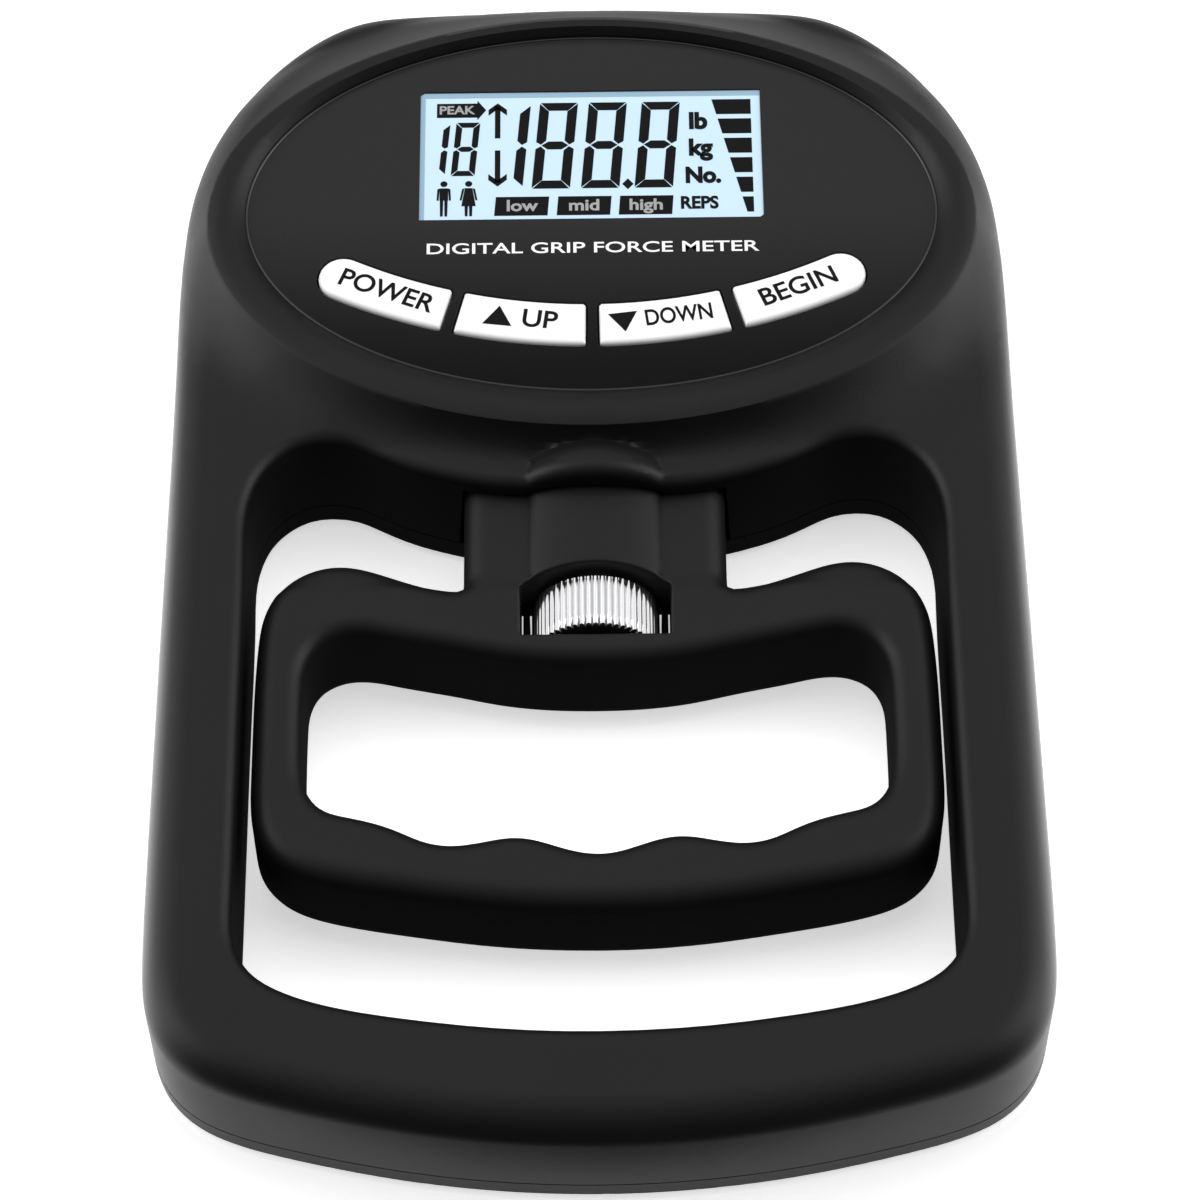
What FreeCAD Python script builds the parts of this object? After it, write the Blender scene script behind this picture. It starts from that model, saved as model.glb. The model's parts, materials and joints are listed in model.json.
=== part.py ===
import FreeCAD, Part
import math
import os
import re

# Hand dynamometer with a load cell: a flat casing with a display at one end and a palm bar at
# the other, and an inner grip that a knurled thumb nut moves along a threaded pull rod.
# Frame: X to the right, Y along the length towards the display, Z out of the front face.
# The casing lies on its back, and the origin is the middle of its bounding box at the back.

Vector = FreeCAD.Vector
document = FreeCAD.newDocument("hand_dynamometer")

DIMENSIONS = [
    ("body_length", 195.0, "whole length along Y"),
    ("body_width", 127.0, "greatest width, across the palm end"),
    ("casing_split", 5.0, "height of the seam between rear and front casing"),
    ("casing_front", 23.0, "front face of the side bars and palm bar"),
    ("casing_wall", 2.2, "wall of both casing mouldings"),
    ("casing_round", 5.5, "rounding of the outer front edge"),
    ("back_round", 2.6, "rounding of the outer back edge"),
    ("opening_round", 1.6, "rounding of the opening's back edge"),
    ("opening_half", 51.0, "half width of the casing's opening"),
    ("ceiling", 20.8, "underside of the front wall in the bars"),
    ("pod_foot", 20.5, "level at which the display pod starts inside the casing"),
    ("ridge_level", 28.5, "top of the ridge around the display, the highest point"),
    ("ridge_half_length", 58.2, "ridge ellipse, half length along X"),
    ("ridge_half_height", 38.3, "ridge ellipse, half height along Y"),
    ("ridge_middle", 51.7, "centre of the ridge ellipse"),
    ("panel_level", 26.5, "front face of the display panel"),
    ("panel_thickness", 1.5, "display panel"),
    ("panel_half_length", 52.4, "panel ellipse, half length along X"),
    ("panel_half_height", 33.2, "panel ellipse, half height along Y"),
    ("panel_middle", 53.6, "centre of the panel ellipse"),
    ("slab_under", 23.5, "underside of the wall that carries the panel"),
    ("window_length", 52.4, "display window along X"),
    ("window_height", 24.4, "display window along Y"),
    ("window_middle", 64.2, "centre of the display window"),
    ("key_centre", 116.0, "centre of the arc that the keys lie on"),
    ("key_inner", 80.0, "inner radius of the key band"),
    ("key_outer", 87.4, "outer radius of the key band"),
    ("key_level", 27.1, "top of the key caps"),
    ("key_flange_level", 23.2, "top of the key caps' flange"),
    ("key_flange_under", 22.2, "underside of the key caps' flange"),
    ("plunger_level", 21.8, "top of the switch plungers"),
    ("plunger_under", 20.2, "underside of the switch plungers"),
    ("switch_level", 20.8, "top of the switch housings"),
    ("board_level", 18.1, "component side of the circuit board"),
    ("board_under", 16.9, "back of the circuit board"),
    ("glass_level", 24.9, "front of the display glass"),
    ("glass_under", 22.1, "back of the display glass"),
    ("light_under", 19.6, "back of the display's light guide"),
    ("axis_level", 11.5, "height of the pull rod's axis"),
    ("rod_radius", 3.0, "M6 pull rod"),
    ("rod_low_end", -14.0, "lower end of the pull rod"),
    ("rod_high_end", 48.6, "upper end of the pull rod"),
    ("cell_low", 30.0, "lower side of the load cell"),
    ("cell_high", 42.0, "upper side of the load cell"),
    ("cell_half_length", 38.0, "half length of the load cell"),
    ("cell_half_depth", 4.5, "half thickness of the load cell"),
    ("grip_back", 3.0, "back of the grip"),
    ("grip_front", 20.0, "front of the grip"),
    ("grip_wall", 2.0, "wall of the grip shells"),
    ("grip_floor", 2.2, "front and back wall of the grip shells"),
    ("grip_round", 3.5, "rounding of the grip's outer edges"),
    ("finger_round", 2.4, "rounding of the finger hole's edges"),
    ("neck_half", 19.3, "half width of the grip's neck"),
    ("neck_front", 19.6, "front of the neck's wings"),
    ("neck_back", 5.4, "back of the neck"),
    ("neck_end", 20.0, "upper end of the neck inside the casing"),
    ("neck_low", -18.0, "lower end of the solid middle of the grip"),
    ("bump_half", 9.7, "half width of the bump over the rod"),
    ("bump_top", 22.4, "top of the neck's bump"),
    ("boss_top", 26.7, "top of the casing's boss over the rod"),
    ("slide_gap", 0.5, "clearance of the neck in the casing's slot"),
    ("knob_radius", 9.4, "knurled thumb nut"),
    ("knob_top", -7.4, "upper end of the nut's knurled part"),
    ("knob_bottom", -16.5, "lower end of the nut"),
    ("sleeve_radius", 5.0, "sleeve of the thumb nut"),
    ("sleeve_top", 1.0, "upper end of the nut's sleeve"),
    ("chamber_half", 11.0, "half width of the nut's window in the grip"),
    ("chamber_top", -5.8, "upper end of the nut's chamber"),
    ("chamber_bottom", -17.6, "lower end of the nut's chamber"),
    ("running_gap", 0.06, "radial clearance of the rod in the nut"),
    ("door_thickness", 1.8, "battery door"),
    ("box_roof", 14.8, "top of the battery box"),
    ("box_roof_under", 13.6, "inside of the battery box's roof"),
    ("battery_radius", 5.25, "AAA cell"),
    ("battery_length", 44.5, "AAA cell"),
    ("battery_level", 8.0, "height of the cells' axes"),
]


def make_sheet():
    """The driving dimensions, one row each, with the alias that expressions use."""
    sheet = document.addObject("Spreadsheet::Sheet", "Dimensions")
    for row, (alias, number, note) in enumerate(DIMENSIONS, start=1):
        sheet.set(f"A{row}", alias)
        sheet.set(f"B{row}", str(number))
        sheet.set(f"C{row}", note)
        sheet.setAlias(f"B{row}", alias)
    document.recompute()
    return sheet


sheet = make_sheet()
size = {alias: float(sheet.get(alias)) for alias, number, note in DIMENSIONS}
sub_parts = []


# ---------------------------------------------------------------- building blocks

def bind(feature, name, expression):
    """Bind a property to an expression in which each word is a cell's alias."""
    feature.setExpression(name, re.sub(r"[a-z]\w*", r"Dimensions.\g<0>", expression))


def new_body(label):
    """An empty sub-part, which may be a group of separate solids."""
    body = document.addObject("PartDesign::Body", label)
    body.Label = label
    body.AllowCompound = True
    sub_parts.append(body)
    return body


def add_sketch(body, name, geometry, level, plane):
    """A sketch on one of the body's own planes, moved to a level along Z, Y or X."""
    sketch = body.newObject("Sketcher::SketchObject", f"{body.Label}_{name}")
    role = f"{plane}_Plane"
    origin_plane = [item for item in body.Origin.OriginFeatures if item.Role == role][0]
    sketch.AttachmentSupport = [(origin_plane, "")]
    sketch.MapMode = "FlatFace"
    sign = "-1 * " if plane == "XZ" else ""
    bind(sketch, "AttachmentOffset.Base.z", f"{sign}({level})")
    sketch.addGeometry(geometry, False)
    return sketch


def pad(body, name, geometry, start, end, plane="XY"):
    """Add material from start to end: along +Z or +X, but towards -Y from an XZ plane."""
    sketch = add_sketch(body, name, geometry, start, plane)
    feature = body.newObject("PartDesign::Pad", f"{body.Label}_{name}_pad")
    feature.Profile = sketch
    order = (start, end) if plane == "XZ" else (end, start)
    bind(feature, "Length", f"({order[0]}) - ({order[1]})")
    document.recompute()
    return feature


def pocket(body, name, geometry, start, end, plane="XY"):
    """Remove material from start to end, in the same directions as a pad."""
    before = body.Shape.Volume
    sketch = add_sketch(body, name, geometry, start, plane)
    feature = body.newObject("PartDesign::Pocket", f"{body.Label}_{name}_pocket")
    feature.Profile = sketch
    feature.Reversed = True
    order = (start, end) if plane == "XZ" else (end, start)
    bind(feature, "Length", f"({order[0]}) - ({order[1]})")
    document.recompute()
    if body.Shape.Volume > before - 1e-3:
        raise RuntimeError(f"{body.Label}: {name} removed nothing")
    return feature


def loft(body, kind, name, sections):
    """An additive or subtractive loft through sketches at several levels."""
    sketches = []
    for number, (geometry, level) in enumerate(sections):
        sketches.append(add_sketch(body, f"{name}_{number}", geometry, level, "XY"))
    feature = body.newObject(f"PartDesign::{kind}Loft", f"{body.Label}_{name}_loft")
    feature.Profile = sketches[0]
    feature.Sections = sketches[1:]
    feature.Ruled = True
    document.recompute()
    return feature


def round_edges(body, name, radius, chosen):
    """Fillet the edges of the body for which chosen(edge) is true."""
    names = []
    for number, edge in enumerate(body.Shape.Edges, start=1):
        if chosen(edge):
            names.append(f"Edge{number}")
    if not names:
        raise RuntimeError(f"{body.Label}: no edge to round for {name}")
    rounded = body.Tip
    feature = body.newObject("PartDesign::Fillet", f"{body.Label}_{name}_fillet")
    feature.Base = (rounded, names)
    bind(feature, "Radius", radius)
    document.recompute()
    return feature


def lies_at(edge, level, within=1000.0):
    """Whether a whole edge lies at one level along Z, and no further than this from the middle."""
    box = edge.BoundBox
    reach = max(abs(box.XMin), abs(box.XMax))
    return abs(box.ZMin - level) < 1e-4 and abs(box.ZMax - level) < 1e-4 and reach < within


# ---------------------------------------------------------------- plane outlines

def circle(x, y, radius):
    return [Part.Circle(Vector(x, y, 0), Vector(0, 0, 1), radius)]


def circles(centres, radius):
    return [Part.Circle(Vector(x, y, 0), Vector(0, 0, 1), radius) for x, y in centres]


def ellipse(y, half_x, half_y):
    """An ellipse centred on the middle plane, its longer half along X."""
    return [Part.Ellipse(Vector(0, y, 0), half_x, half_y)]


def polygon(points):
    corners = [Vector(x, y, 0) for x, y in points]
    return [Part.LineSegment(a, b) for a, b in zip(corners, corners[1:] + corners[:1])]


def rectangle(low_x, low_y, high_x, high_y):
    return polygon([(low_x, low_y), (high_x, low_y), (high_x, high_y), (low_x, high_y)])


def centred_rectangle(x, y, length, height):
    return rectangle(x - length / 2, y - height / 2, x + length / 2, y + height / 2)


def both_sides(points):
    """Each place on the right, and its mirror image on the left."""
    return [(side * x, y) for x, y in points for side in (1, -1)]


def mirrored(half):
    """Close a right half, listed from one end of the middle line to the other."""
    left = [(-x, y) for x, y in reversed(half) if x > 0]
    return half + left


def moved_out(points, distance):
    """Move an anticlockwise loop of points outwards along its normals."""
    result = []
    for before, here, after in zip(points[-1:] + points[:-1], points, points[1:] + points[:1]):
        along_x = after[0] - before[0]
        along_y = after[1] - before[1]
        length = math.hypot(along_x, along_y)
        result.append((here[0] + distance * along_y / length, here[1] - distance * along_x / length))
    return result


def closed_curve(points):
    """One smooth closed curve through the points, as four pieces, so that its faces have edges."""
    curve = Part.BSplineCurve()
    curve.interpolate([Vector(x, y, 0) for x, y in points], PeriodicFlag=True)
    first = curve.FirstParameter
    quarter = (curve.LastParameter - first) / 4
    pieces = []
    for number in range(4):
        piece = curve.copy()
        piece.segment(first + number * quarter, first + (number + 1) * quarter)
        pieces.append(piece)
    return pieces


def casing_points():
    """Outer outline: a bowed palm end, almost straight sides and an elliptical dome."""
    half = size["body_width"] / 2
    end = size["body_length"] / 2
    shoulder = 48.0
    flat = 27.0
    dome_width = half - 0.8 - flat
    points = [(0, -end), (15, 0.7 - end), (30, 2.8 - end), (43, 5.7 - end)]
    points += [(51, 8.1 - end), (half - 7.2, 10.8 - end), (half - 3, 15.2 - end)]
    points += [(half - 0.7, 21.2 - end), (half, 29.5 - end), (half, -50), (half - 0.3, -10)]
    points += [(half - 0.6, 30)]
    for degrees in (0, 20, 40, 60, 75):
        turn = math.radians(degrees)
        points.append((flat + dome_width * math.cos(turn), shoulder + (end - shoulder) * math.sin(turn)))
    points += [(flat + 0.5, end - 0.45), (18, end - 0.05), (8, end), (0, end)]
    return mirrored(points)


def opening_points():
    """The casing's opening: bowed along the palm bar, and waved below the display."""
    side = size["opening_half"]
    points = [(0, -81.9), (14, -81.3), (27, -79.7), (38, -77.5), (44, -75.3), (side - 2.5, -72)]
    points += [(side - 0.4, -67.5), (side, -62), (side, -45), (side, -20), (side, -4)]
    points += [(side - 0.1, 2.5), (side - 0.8, 6), (side - 2.4, 9.6), (side - 4.8, 12.2)]
    points += [(side - 7.8, 13.9), (39.8, 14.4), (36, 13.8), (32.4, 12.1), (28.6, 10.2)]
    points += [(22.7, 8.1), (16.8, 6.7), (9.5, 6.1), (0, 6.0)]
    return mirrored(points)


def grip_points():
    """Outer outline of the grip, with a hump at each shoulder."""
    points = [(0, -61.7), (14, -61), (28, -59), (38, -57), (44.5, -54.3), (48, -50.3)]
    points += [(49.2, -45.5), (49.4, -38), (49.4, -28), (49.1, -18), (48, -11.5), (45.8, -7.8)]
    points += [(42.3, -5.2), (37.5, -4.1), (32.5, -5.1), (28, -6.8), (22, -8.6), (12, -9.4), (0, -9.5)]
    return mirrored(points)


def finger_hole_points():
    """The finger hole, with waves for the fingers along its lower edge."""
    points = [(0, -52.7), (5, -51.7), (8.5, -50.5), (12, -50), (17, -50.8), (21.1, -51.2)]
    points += [(24.6, -50.5), (28.2, -48.8), (31.5, -47.5), (35.3, -46.5), (38.7, -45.4), (41, -43)]
    points += [(42, -39.5), (42.3, -34), (42.3, -26), (41.9, -21.8), (40.2, -18.6), (37, -16.8)]
    points += [(32.7, -16.7), (29, -17.5), (21, -19.2), (14.4, -20.7), (0, -21.9)]
    return mirrored(points)


def bump_arc(half, low, top):
    """The arc over the rod, from right to left, in a section across Y."""
    return Part.Arc(Vector(half, low, 0), Vector(0, top, 0), Vector(-half, low, 0))


def neck_section(low, gap):
    """Upper part of the neck's section: two flat wings and the bump between them."""
    half = size["neck_half"] + gap
    front = size["neck_front"] + gap
    bump = size["bump_half"] + gap
    right = [(-half, front), (-half, low), (half, low), (half, front), (bump, front)]
    corners = [Vector(x, z, 0) for x, z in [(-bump, front)] + right]
    lines = [Part.LineSegment(a, b) for a, b in zip(corners, corners[1:])]
    return lines + [bump_arc(bump, front, size["bump_top"] + gap)]


def polar(radius, degrees):
    """A point of the key band, by its angle from the middle plane."""
    turn = math.radians(degrees)
    return Vector(radius * math.sin(turn), size["key_centre"] - radius * math.cos(turn), 0)


KEY_SIDES = {"key_on": (-1, True), "key_up": (-1, False), "key_down": (1, False), "key_start": (1, True)}
MIDDLE_KEY_ANGLES = (0.7, 13.8)
END_KEY_ANGLES = (15.2, 26.6)


def key_outline(name, grow):
    """A key's outline: a piece of the ring, and the end keys finish in a half circle."""
    side, at_end = KEY_SIDES[name]
    near, far = END_KEY_ANGLES if at_end else MIDDLE_KEY_ANGLES
    inner = size["key_inner"] - grow
    outer = size["key_outer"] + grow
    middle = (inner + outer) / 2
    spread = math.degrees(grow / middle)
    near = near - spread
    far = far if at_end else far + spread
    near, far, centre = near * side, far * side, (near + far) / 2 * side
    geometry = [
        Part.LineSegment(polar(outer, near), polar(inner, near)),
        Part.Arc(polar(inner, near), polar(inner, centre), polar(inner, far)),
        Part.Arc(polar(outer, far), polar(outer, centre), polar(outer, near)),
    ]
    if not at_end:
        return geometry + [Part.LineSegment(polar(inner, far), polar(outer, far))]
    tip = far + side * math.degrees((outer - inner) / 2 / middle)
    return geometry + [Part.Arc(polar(inner, far), polar(middle, tip), polar(outer, far))]


def key_place(name):
    """The middle of a key, where its switch stands."""
    side, at_end = KEY_SIDES[name]
    near, far = END_KEY_ANGLES if at_end else MIDDLE_KEY_ANGLES
    place = polar((size["key_inner"] + size["key_outer"]) / 2, side * (near + far) / 2)
    return place.x, place.y


# ---------------------------------------------------------------- casing

CASING_SCREWS = both_sides([(52.6, -80.5), (57.1, 2.0), (50.4, 71.5)])
BOARD_SCREWS = both_sides([(40.6, 74.2), (40.2, 30.8)])
CELL_SCREWS = both_sides([(27.5, 36.0), (34.5, 36.0)])
BOX_LOW, BOX_HIGH = 51.5, 74.5
BOX_HALF = 25.5
BOX_WALL = 1.2
DOOR_LOW, DOOR_HIGH = 49.3, 76.7
DOOR_HALF = 28.0
DOOR_GAP = 0.3
DOOR_PIVOT = (50.2, 0.9)


def make_front_casing():
    """The front moulding: bars, palm bar, display pod, and the boss over the rod."""
    body = new_body("front_casing")
    front = size["casing_front"]
    pad(body, "outline", closed_curve(casing_points()), "casing_split", "casing_front")
    round_edges(body, "outer", "casing_round", lambda edge: lies_at(edge, front))
    middle = size["ridge_middle"]
    foot = ellipse(middle, size["ridge_half_length"] + 3.3, size["ridge_half_height"] + 3.9)
    ridge = ellipse(middle, size["ridge_half_length"], size["ridge_half_height"])
    loft(body, "Additive", "pod", [(foot, "pod_foot"), (ridge, "ridge_level")])
    half = size["bump_half"]
    boss = [bump_arc(half, front - 1, size["boss_top"])]
    boss += [Part.LineSegment(Vector(-half, front - 1, 0), Vector(half, front - 1, 0))]
    pad(body, "boss", boss, "ridge_middle - ridge_half_height + 4", "3", "XZ")
    pocket(body, "opening", closed_curve(opening_points()), "casing_split", "ridge_level")
    rim = ellipse(size["ridge_middle"], size["ridge_half_length"] - 0.8, size["ridge_half_height"] - 0.8)
    seat = ellipse(size["panel_middle"], size["panel_half_length"] + 0.15, size["panel_half_height"] + 0.15)
    loft(body, "Subtractive", "dish", [(seat, "panel_level"), (rim, "ridge_level")])
    pocket(body, "panel_seat", seat, "panel_level - panel_thickness", "panel_level")
    hollow = closed_curve(moved_out(casing_points(), -size["casing_wall"]))
    island = closed_curve(moved_out(opening_points(), size["casing_wall"]))
    pocket(body, "hollow", hollow + island, "casing_split", "ceiling")
    deep = ellipse(size["panel_middle"], size["panel_half_length"] - 2.4, size["panel_half_height"] - 2.2)
    pocket(body, "pod_hollow", deep, "casing_split", "slab_under")
    glass = centred_rectangle(0, size["window_middle"], size["window_length"] + 3.6, size["window_height"] + 3.6)
    pocket(body, "display", glass, "slab_under", "panel_level - panel_thickness")
    for name in KEY_SIDES:
        pocket(body, f"{name}_hole", key_outline(name, 0.3), "slab_under", "panel_level - panel_thickness")
    slot = neck_section(size["casing_split"] - 1, size["slide_gap"])
    pocket(body, "slot", slot, "neck_end + 7.5", "3", "XZ")
    pad(body, "screw_posts", circles(CASING_SCREWS, 3.3), "casing_split", "ceiling + 1")
    pocket(body, "screw_holes", circles(CASING_SCREWS, 1.45), "casing_split", "ceiling - 3")
    pad(body, "board_posts", circles(BOARD_SCREWS, 2.5), "board_level", "slab_under + 1")
    pocket(body, "board_holes", circles(BOARD_SCREWS, 1.05), "board_level", "slab_under - 1")


def make_rear_casing():
    """The shallow rear moulding, with the battery box and the seats of the load cell."""
    body = new_body("rear_casing")
    pad(body, "outline", closed_curve(casing_points()), "0", "casing_split")
    round_edges(body, "outer", "back_round", lambda edge: lies_at(edge, 0))
    pocket(body, "opening", closed_curve(opening_points()), "0", "casing_split")
    inside = size["opening_half"] + 1
    round_edges(body, "opening", "opening_round", lambda edge: lies_at(edge, 0, inside))
    hollow = closed_curve(moved_out(casing_points(), -size["casing_wall"]))
    island = closed_curve(moved_out(opening_points(), size["casing_wall"]))
    pocket(body, "hollow", hollow + island, "casing_wall", "casing_split")
    outer = rectangle(-BOX_HALF - BOX_WALL, BOX_LOW - BOX_WALL, BOX_HALF + BOX_WALL, BOX_HIGH + BOX_WALL)
    pad(body, "box", outer, "1", "box_roof")
    door_rim = rectangle(-DOOR_HALF - 2, DOOR_LOW - 2, DOOR_HALF + 2, DOOR_HIGH + 2)
    pad(body, "door_rim", door_rim, "1", "casing_wall + 1.4")
    pads = []
    for side in (-1, 1):
        pads += centred_rectangle(side * 31, 36, 16, 10)
    pad(body, "cell_seats", pads, "1", "axis_level - cell_half_depth")
    pad(body, "screw_posts", circles(CASING_SCREWS, 3.8), "1", "casing_split")
    inner = rectangle(-BOX_HALF, BOX_LOW, BOX_HALF, BOX_HIGH)
    pocket(body, "box_inside", inner, "0", "box_roof_under")
    recess = rectangle(-DOOR_HALF, DOOR_LOW - DOOR_GAP, DOOR_HALF, DOOR_HIGH + DOOR_GAP)
    pocket(body, "door_recess", recess, "0", "door_thickness + 0.2")
    sockets = circle(*DOOR_PIVOT, 0.6)
    pocket(body, "door_sockets", sockets, f"{-DOOR_HALF - 1}", f"{DOOR_HALF + 1}", "YZ")
    pocket(body, "screw_heads", circles(CASING_SCREWS, 3.0), "0", "casing_wall + 0.3")
    pocket(body, "screw_holes", circles(CASING_SCREWS, 1.6), "0", "casing_split")
    pocket(body, "cell_heads", circles(CELL_SCREWS, 3.1), "0", "casing_wall + 0.6")
    pocket(body, "cell_holes", circles(CELL_SCREWS, 1.8), "0", "axis_level - cell_half_depth")


def make_casing_screws():
    body = new_body("casing_screws")
    pad(body, "heads", circles(CASING_SCREWS, 2.7), "0.4", "casing_wall + 0.3")
    pad(body, "shanks", circles(CASING_SCREWS, 1.4), "casing_wall", "ceiling - 4")
    pocket(body, "drives", circles(CASING_SCREWS, 1.1), "0.4", "1.4")


def make_battery_door():
    """The door turns on two pins at its round lower edge. Its latch rib stands inside the box."""
    body = new_body("battery_door")
    y, z = DOOR_PIVOT
    top = size["door_thickness"]
    section = [
        Part.LineSegment(Vector(y, 0, 0), Vector(DOOR_HIGH, 0, 0)),
        Part.LineSegment(Vector(DOOR_HIGH, 0, 0), Vector(DOOR_HIGH, top, 0)),
        Part.LineSegment(Vector(DOOR_HIGH, top, 0), Vector(y, top, 0)),
        Part.Arc(Vector(y, top, 0), Vector(DOOR_LOW, z, 0), Vector(y, 0, 0)),
    ]
    pad(body, "plate", section, f"{-DOOR_HALF + DOOR_GAP}", f"{DOOR_HALF - DOOR_GAP}", "YZ")
    pad(body, "pins", circle(y, z, 0.5), f"{-DOOR_HALF - 0.8}", f"{DOOR_HALF + 0.8}", "YZ")
    pad(body, "latch", centred_rectangle(0, 73, 8, 1.2), "door_thickness - 0.5", "door_thickness + 2")
    pocket(body, "finger_groove", centred_rectangle(0, 71.5, 14, 3), "0", "0.8")


# ---------------------------------------------------------------- display and electronics

def make_display_panel():
    """The glossy oval panel, with the display window and the four key openings."""
    body = new_body("display_panel")
    face = ellipse(size["panel_middle"], size["panel_half_length"], size["panel_half_height"])
    window = centred_rectangle(0, size["window_middle"], size["window_length"], size["window_height"])
    pad(body, "plate", face + window, "panel_level - panel_thickness", "panel_level")
    for name in KEY_SIDES:
        pocket(body, f"{name}_hole", key_outline(name, 0.3), "panel_level - panel_thickness", "panel_level")


def make_keys():
    """Each key is a cap with a flange under the casing wall, and stands on its switch's plunger."""
    for number, name in enumerate(KEY_SIDES, start=1):
        cap = new_body(name)
        pad(cap, "cap", key_outline(name, 0), "key_flange_under", "key_level")
        pad(cap, "flange", key_outline(name, 0.7), "key_flange_under", "key_flange_level")
        x, y = key_place(name)
        pad(cap, "stem", circle(x, y, 2.0), "plunger_level", "key_flange_under + 0.5")
        plunger = new_body(f"switch_plunger_{number}")
        pad(plunger, "button", circle(x, y, 1.7), "plunger_under", "plunger_level")


def make_switches():
    """Four housings soldered to the board, each with the hole that its plunger moves in."""
    body = new_body("switch_housings")
    places = [key_place(name) for name in KEY_SIDES]
    squares = []
    for x, y in places:
        squares += centred_rectangle(x, y, 6, 6)
    pad(body, "housings", squares, "board_level", "switch_level")
    pocket(body, "wells", circles(places, 2.0), "plunger_under - 0.9", "switch_level")


def make_display():
    middle = size["window_middle"]
    length = size["window_length"] + 3.0
    height = size["window_height"] + 3.0
    glass = new_body("lcd_glass")
    pad(glass, "pane", centred_rectangle(0, middle, length, height), "glass_under", "glass_level")
    light = new_body("lcd_backlight")
    pad(light, "guide", centred_rectangle(0, middle, length, height - 3), "light_under", "glass_under")
    strip = new_body("lcd_contact_strip")
    upper = middle + height / 2 - 0.8
    pad(strip, "rubber", centred_rectangle(0, upper, length - 6, 1.2), "board_level", "glass_under")
    frame = new_body("lcd_frame")
    inside = centred_rectangle(0, middle, length + 0.2, height + 0.2)
    outside = centred_rectangle(0, middle, length + 2.2, height + 1.8)
    pad(frame, "walls", outside + inside, "board_level", "slab_under - 0.1")


def make_board():
    """The circuit board, cut away below the display's arc so that it clears the rod."""
    board = new_body("main_board")
    outline = [(-37, 28.6), (37, 28.6), (44, 34), (44, 72), (36, 81), (-36, 81), (-44, 72), (-44, 34)]
    pad(board, "sheet", polygon(outline), "board_under", "board_level")
    pocket(board, "screw_holes", circles(BOARD_SCREWS, 1.3), "board_under", "board_level")
    screws = new_body("board_screws")
    pad(screws, "heads", circles(BOARD_SCREWS, 1.9), "board_under - 1.4", "board_under")
    pad(screws, "shanks", circles(BOARD_SCREWS, 1.0), "board_under - 0.5", "slab_under - 2")
    chip = new_body("controller_chip")
    pad(chip, "package", centred_rectangle(0, 44.5, 9, 6), "board_level", "board_level + 1.4")
    parts = new_body("board_components")
    small = []
    for x in (-26, -21, -16, 16, 21, 26):
        small += centred_rectangle(x, 46, 2.4, 1.4)
    pad(parts, "chips", small, "board_level", "board_level + 0.8")
    pad(parts, "crystal", centred_rectangle(36.5, 58, 4, 9), "board_level", "board_level + 2.6")
    pad(parts, "capacitor", circle(-36.5, 58, 3), "board_level", "board_level + 3.6")


def wire_tube(label, runs, radius):
    """Round wires, each a run of straight pieces joined by tangent arcs."""
    solids = []
    for start, corner, end, bend in runs:
        first = (corner - start).normalize()
        second = (end - corner).normalize()
        leave = corner - first * bend
        arrive = corner + second * bend
        hub = leave + second * bend
        touch = hub + (corner - hub).normalize() * bend
        path = Part.Wire([
            Part.LineSegment(start, leave).toShape(),
            Part.Arc(leave, touch, arrive).toShape(),
            Part.LineSegment(arrive, end).toShape(),
        ])
        section = Part.Wire([Part.Circle(start, first, radius).toShape()])
        solids.append(path.makePipeShell([section], True, False))
    wires = document.addObject("Part::Feature", label)
    wires.Label = label
    wires.Shape = Part.Compound(solids)
    wires.Placement = FreeCAD.Placement()
    sub_parts.append(wires)


def make_wires():
    """Leads of the strain gauges and of the battery contacts, both up to the board."""
    level = size["axis_level"]
    under = size["board_under"]
    high = size["cell_high"]
    runs = []
    for x in (11.8, 13.2, 14.6, 16.0):
        corner = Vector(x, high + 4, level)
        runs.append((Vector(x, high + 0.2, level), corner, Vector(x, high + 4, under), 2.5))
    wire_tube("gauge_leads", runs, 0.5)
    runs = []
    for side in (-1, 1):
        out = side * (BOX_HALF + BOX_WALL)
        corner = Vector(side * 32, 57.1, level)
        runs.append((Vector(out, 57.1, level), corner, Vector(side * 32, 57.1, under), 3.0))
    wire_tube("battery_leads", runs, 0.6)


# ---------------------------------------------------------------- batteries

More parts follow.
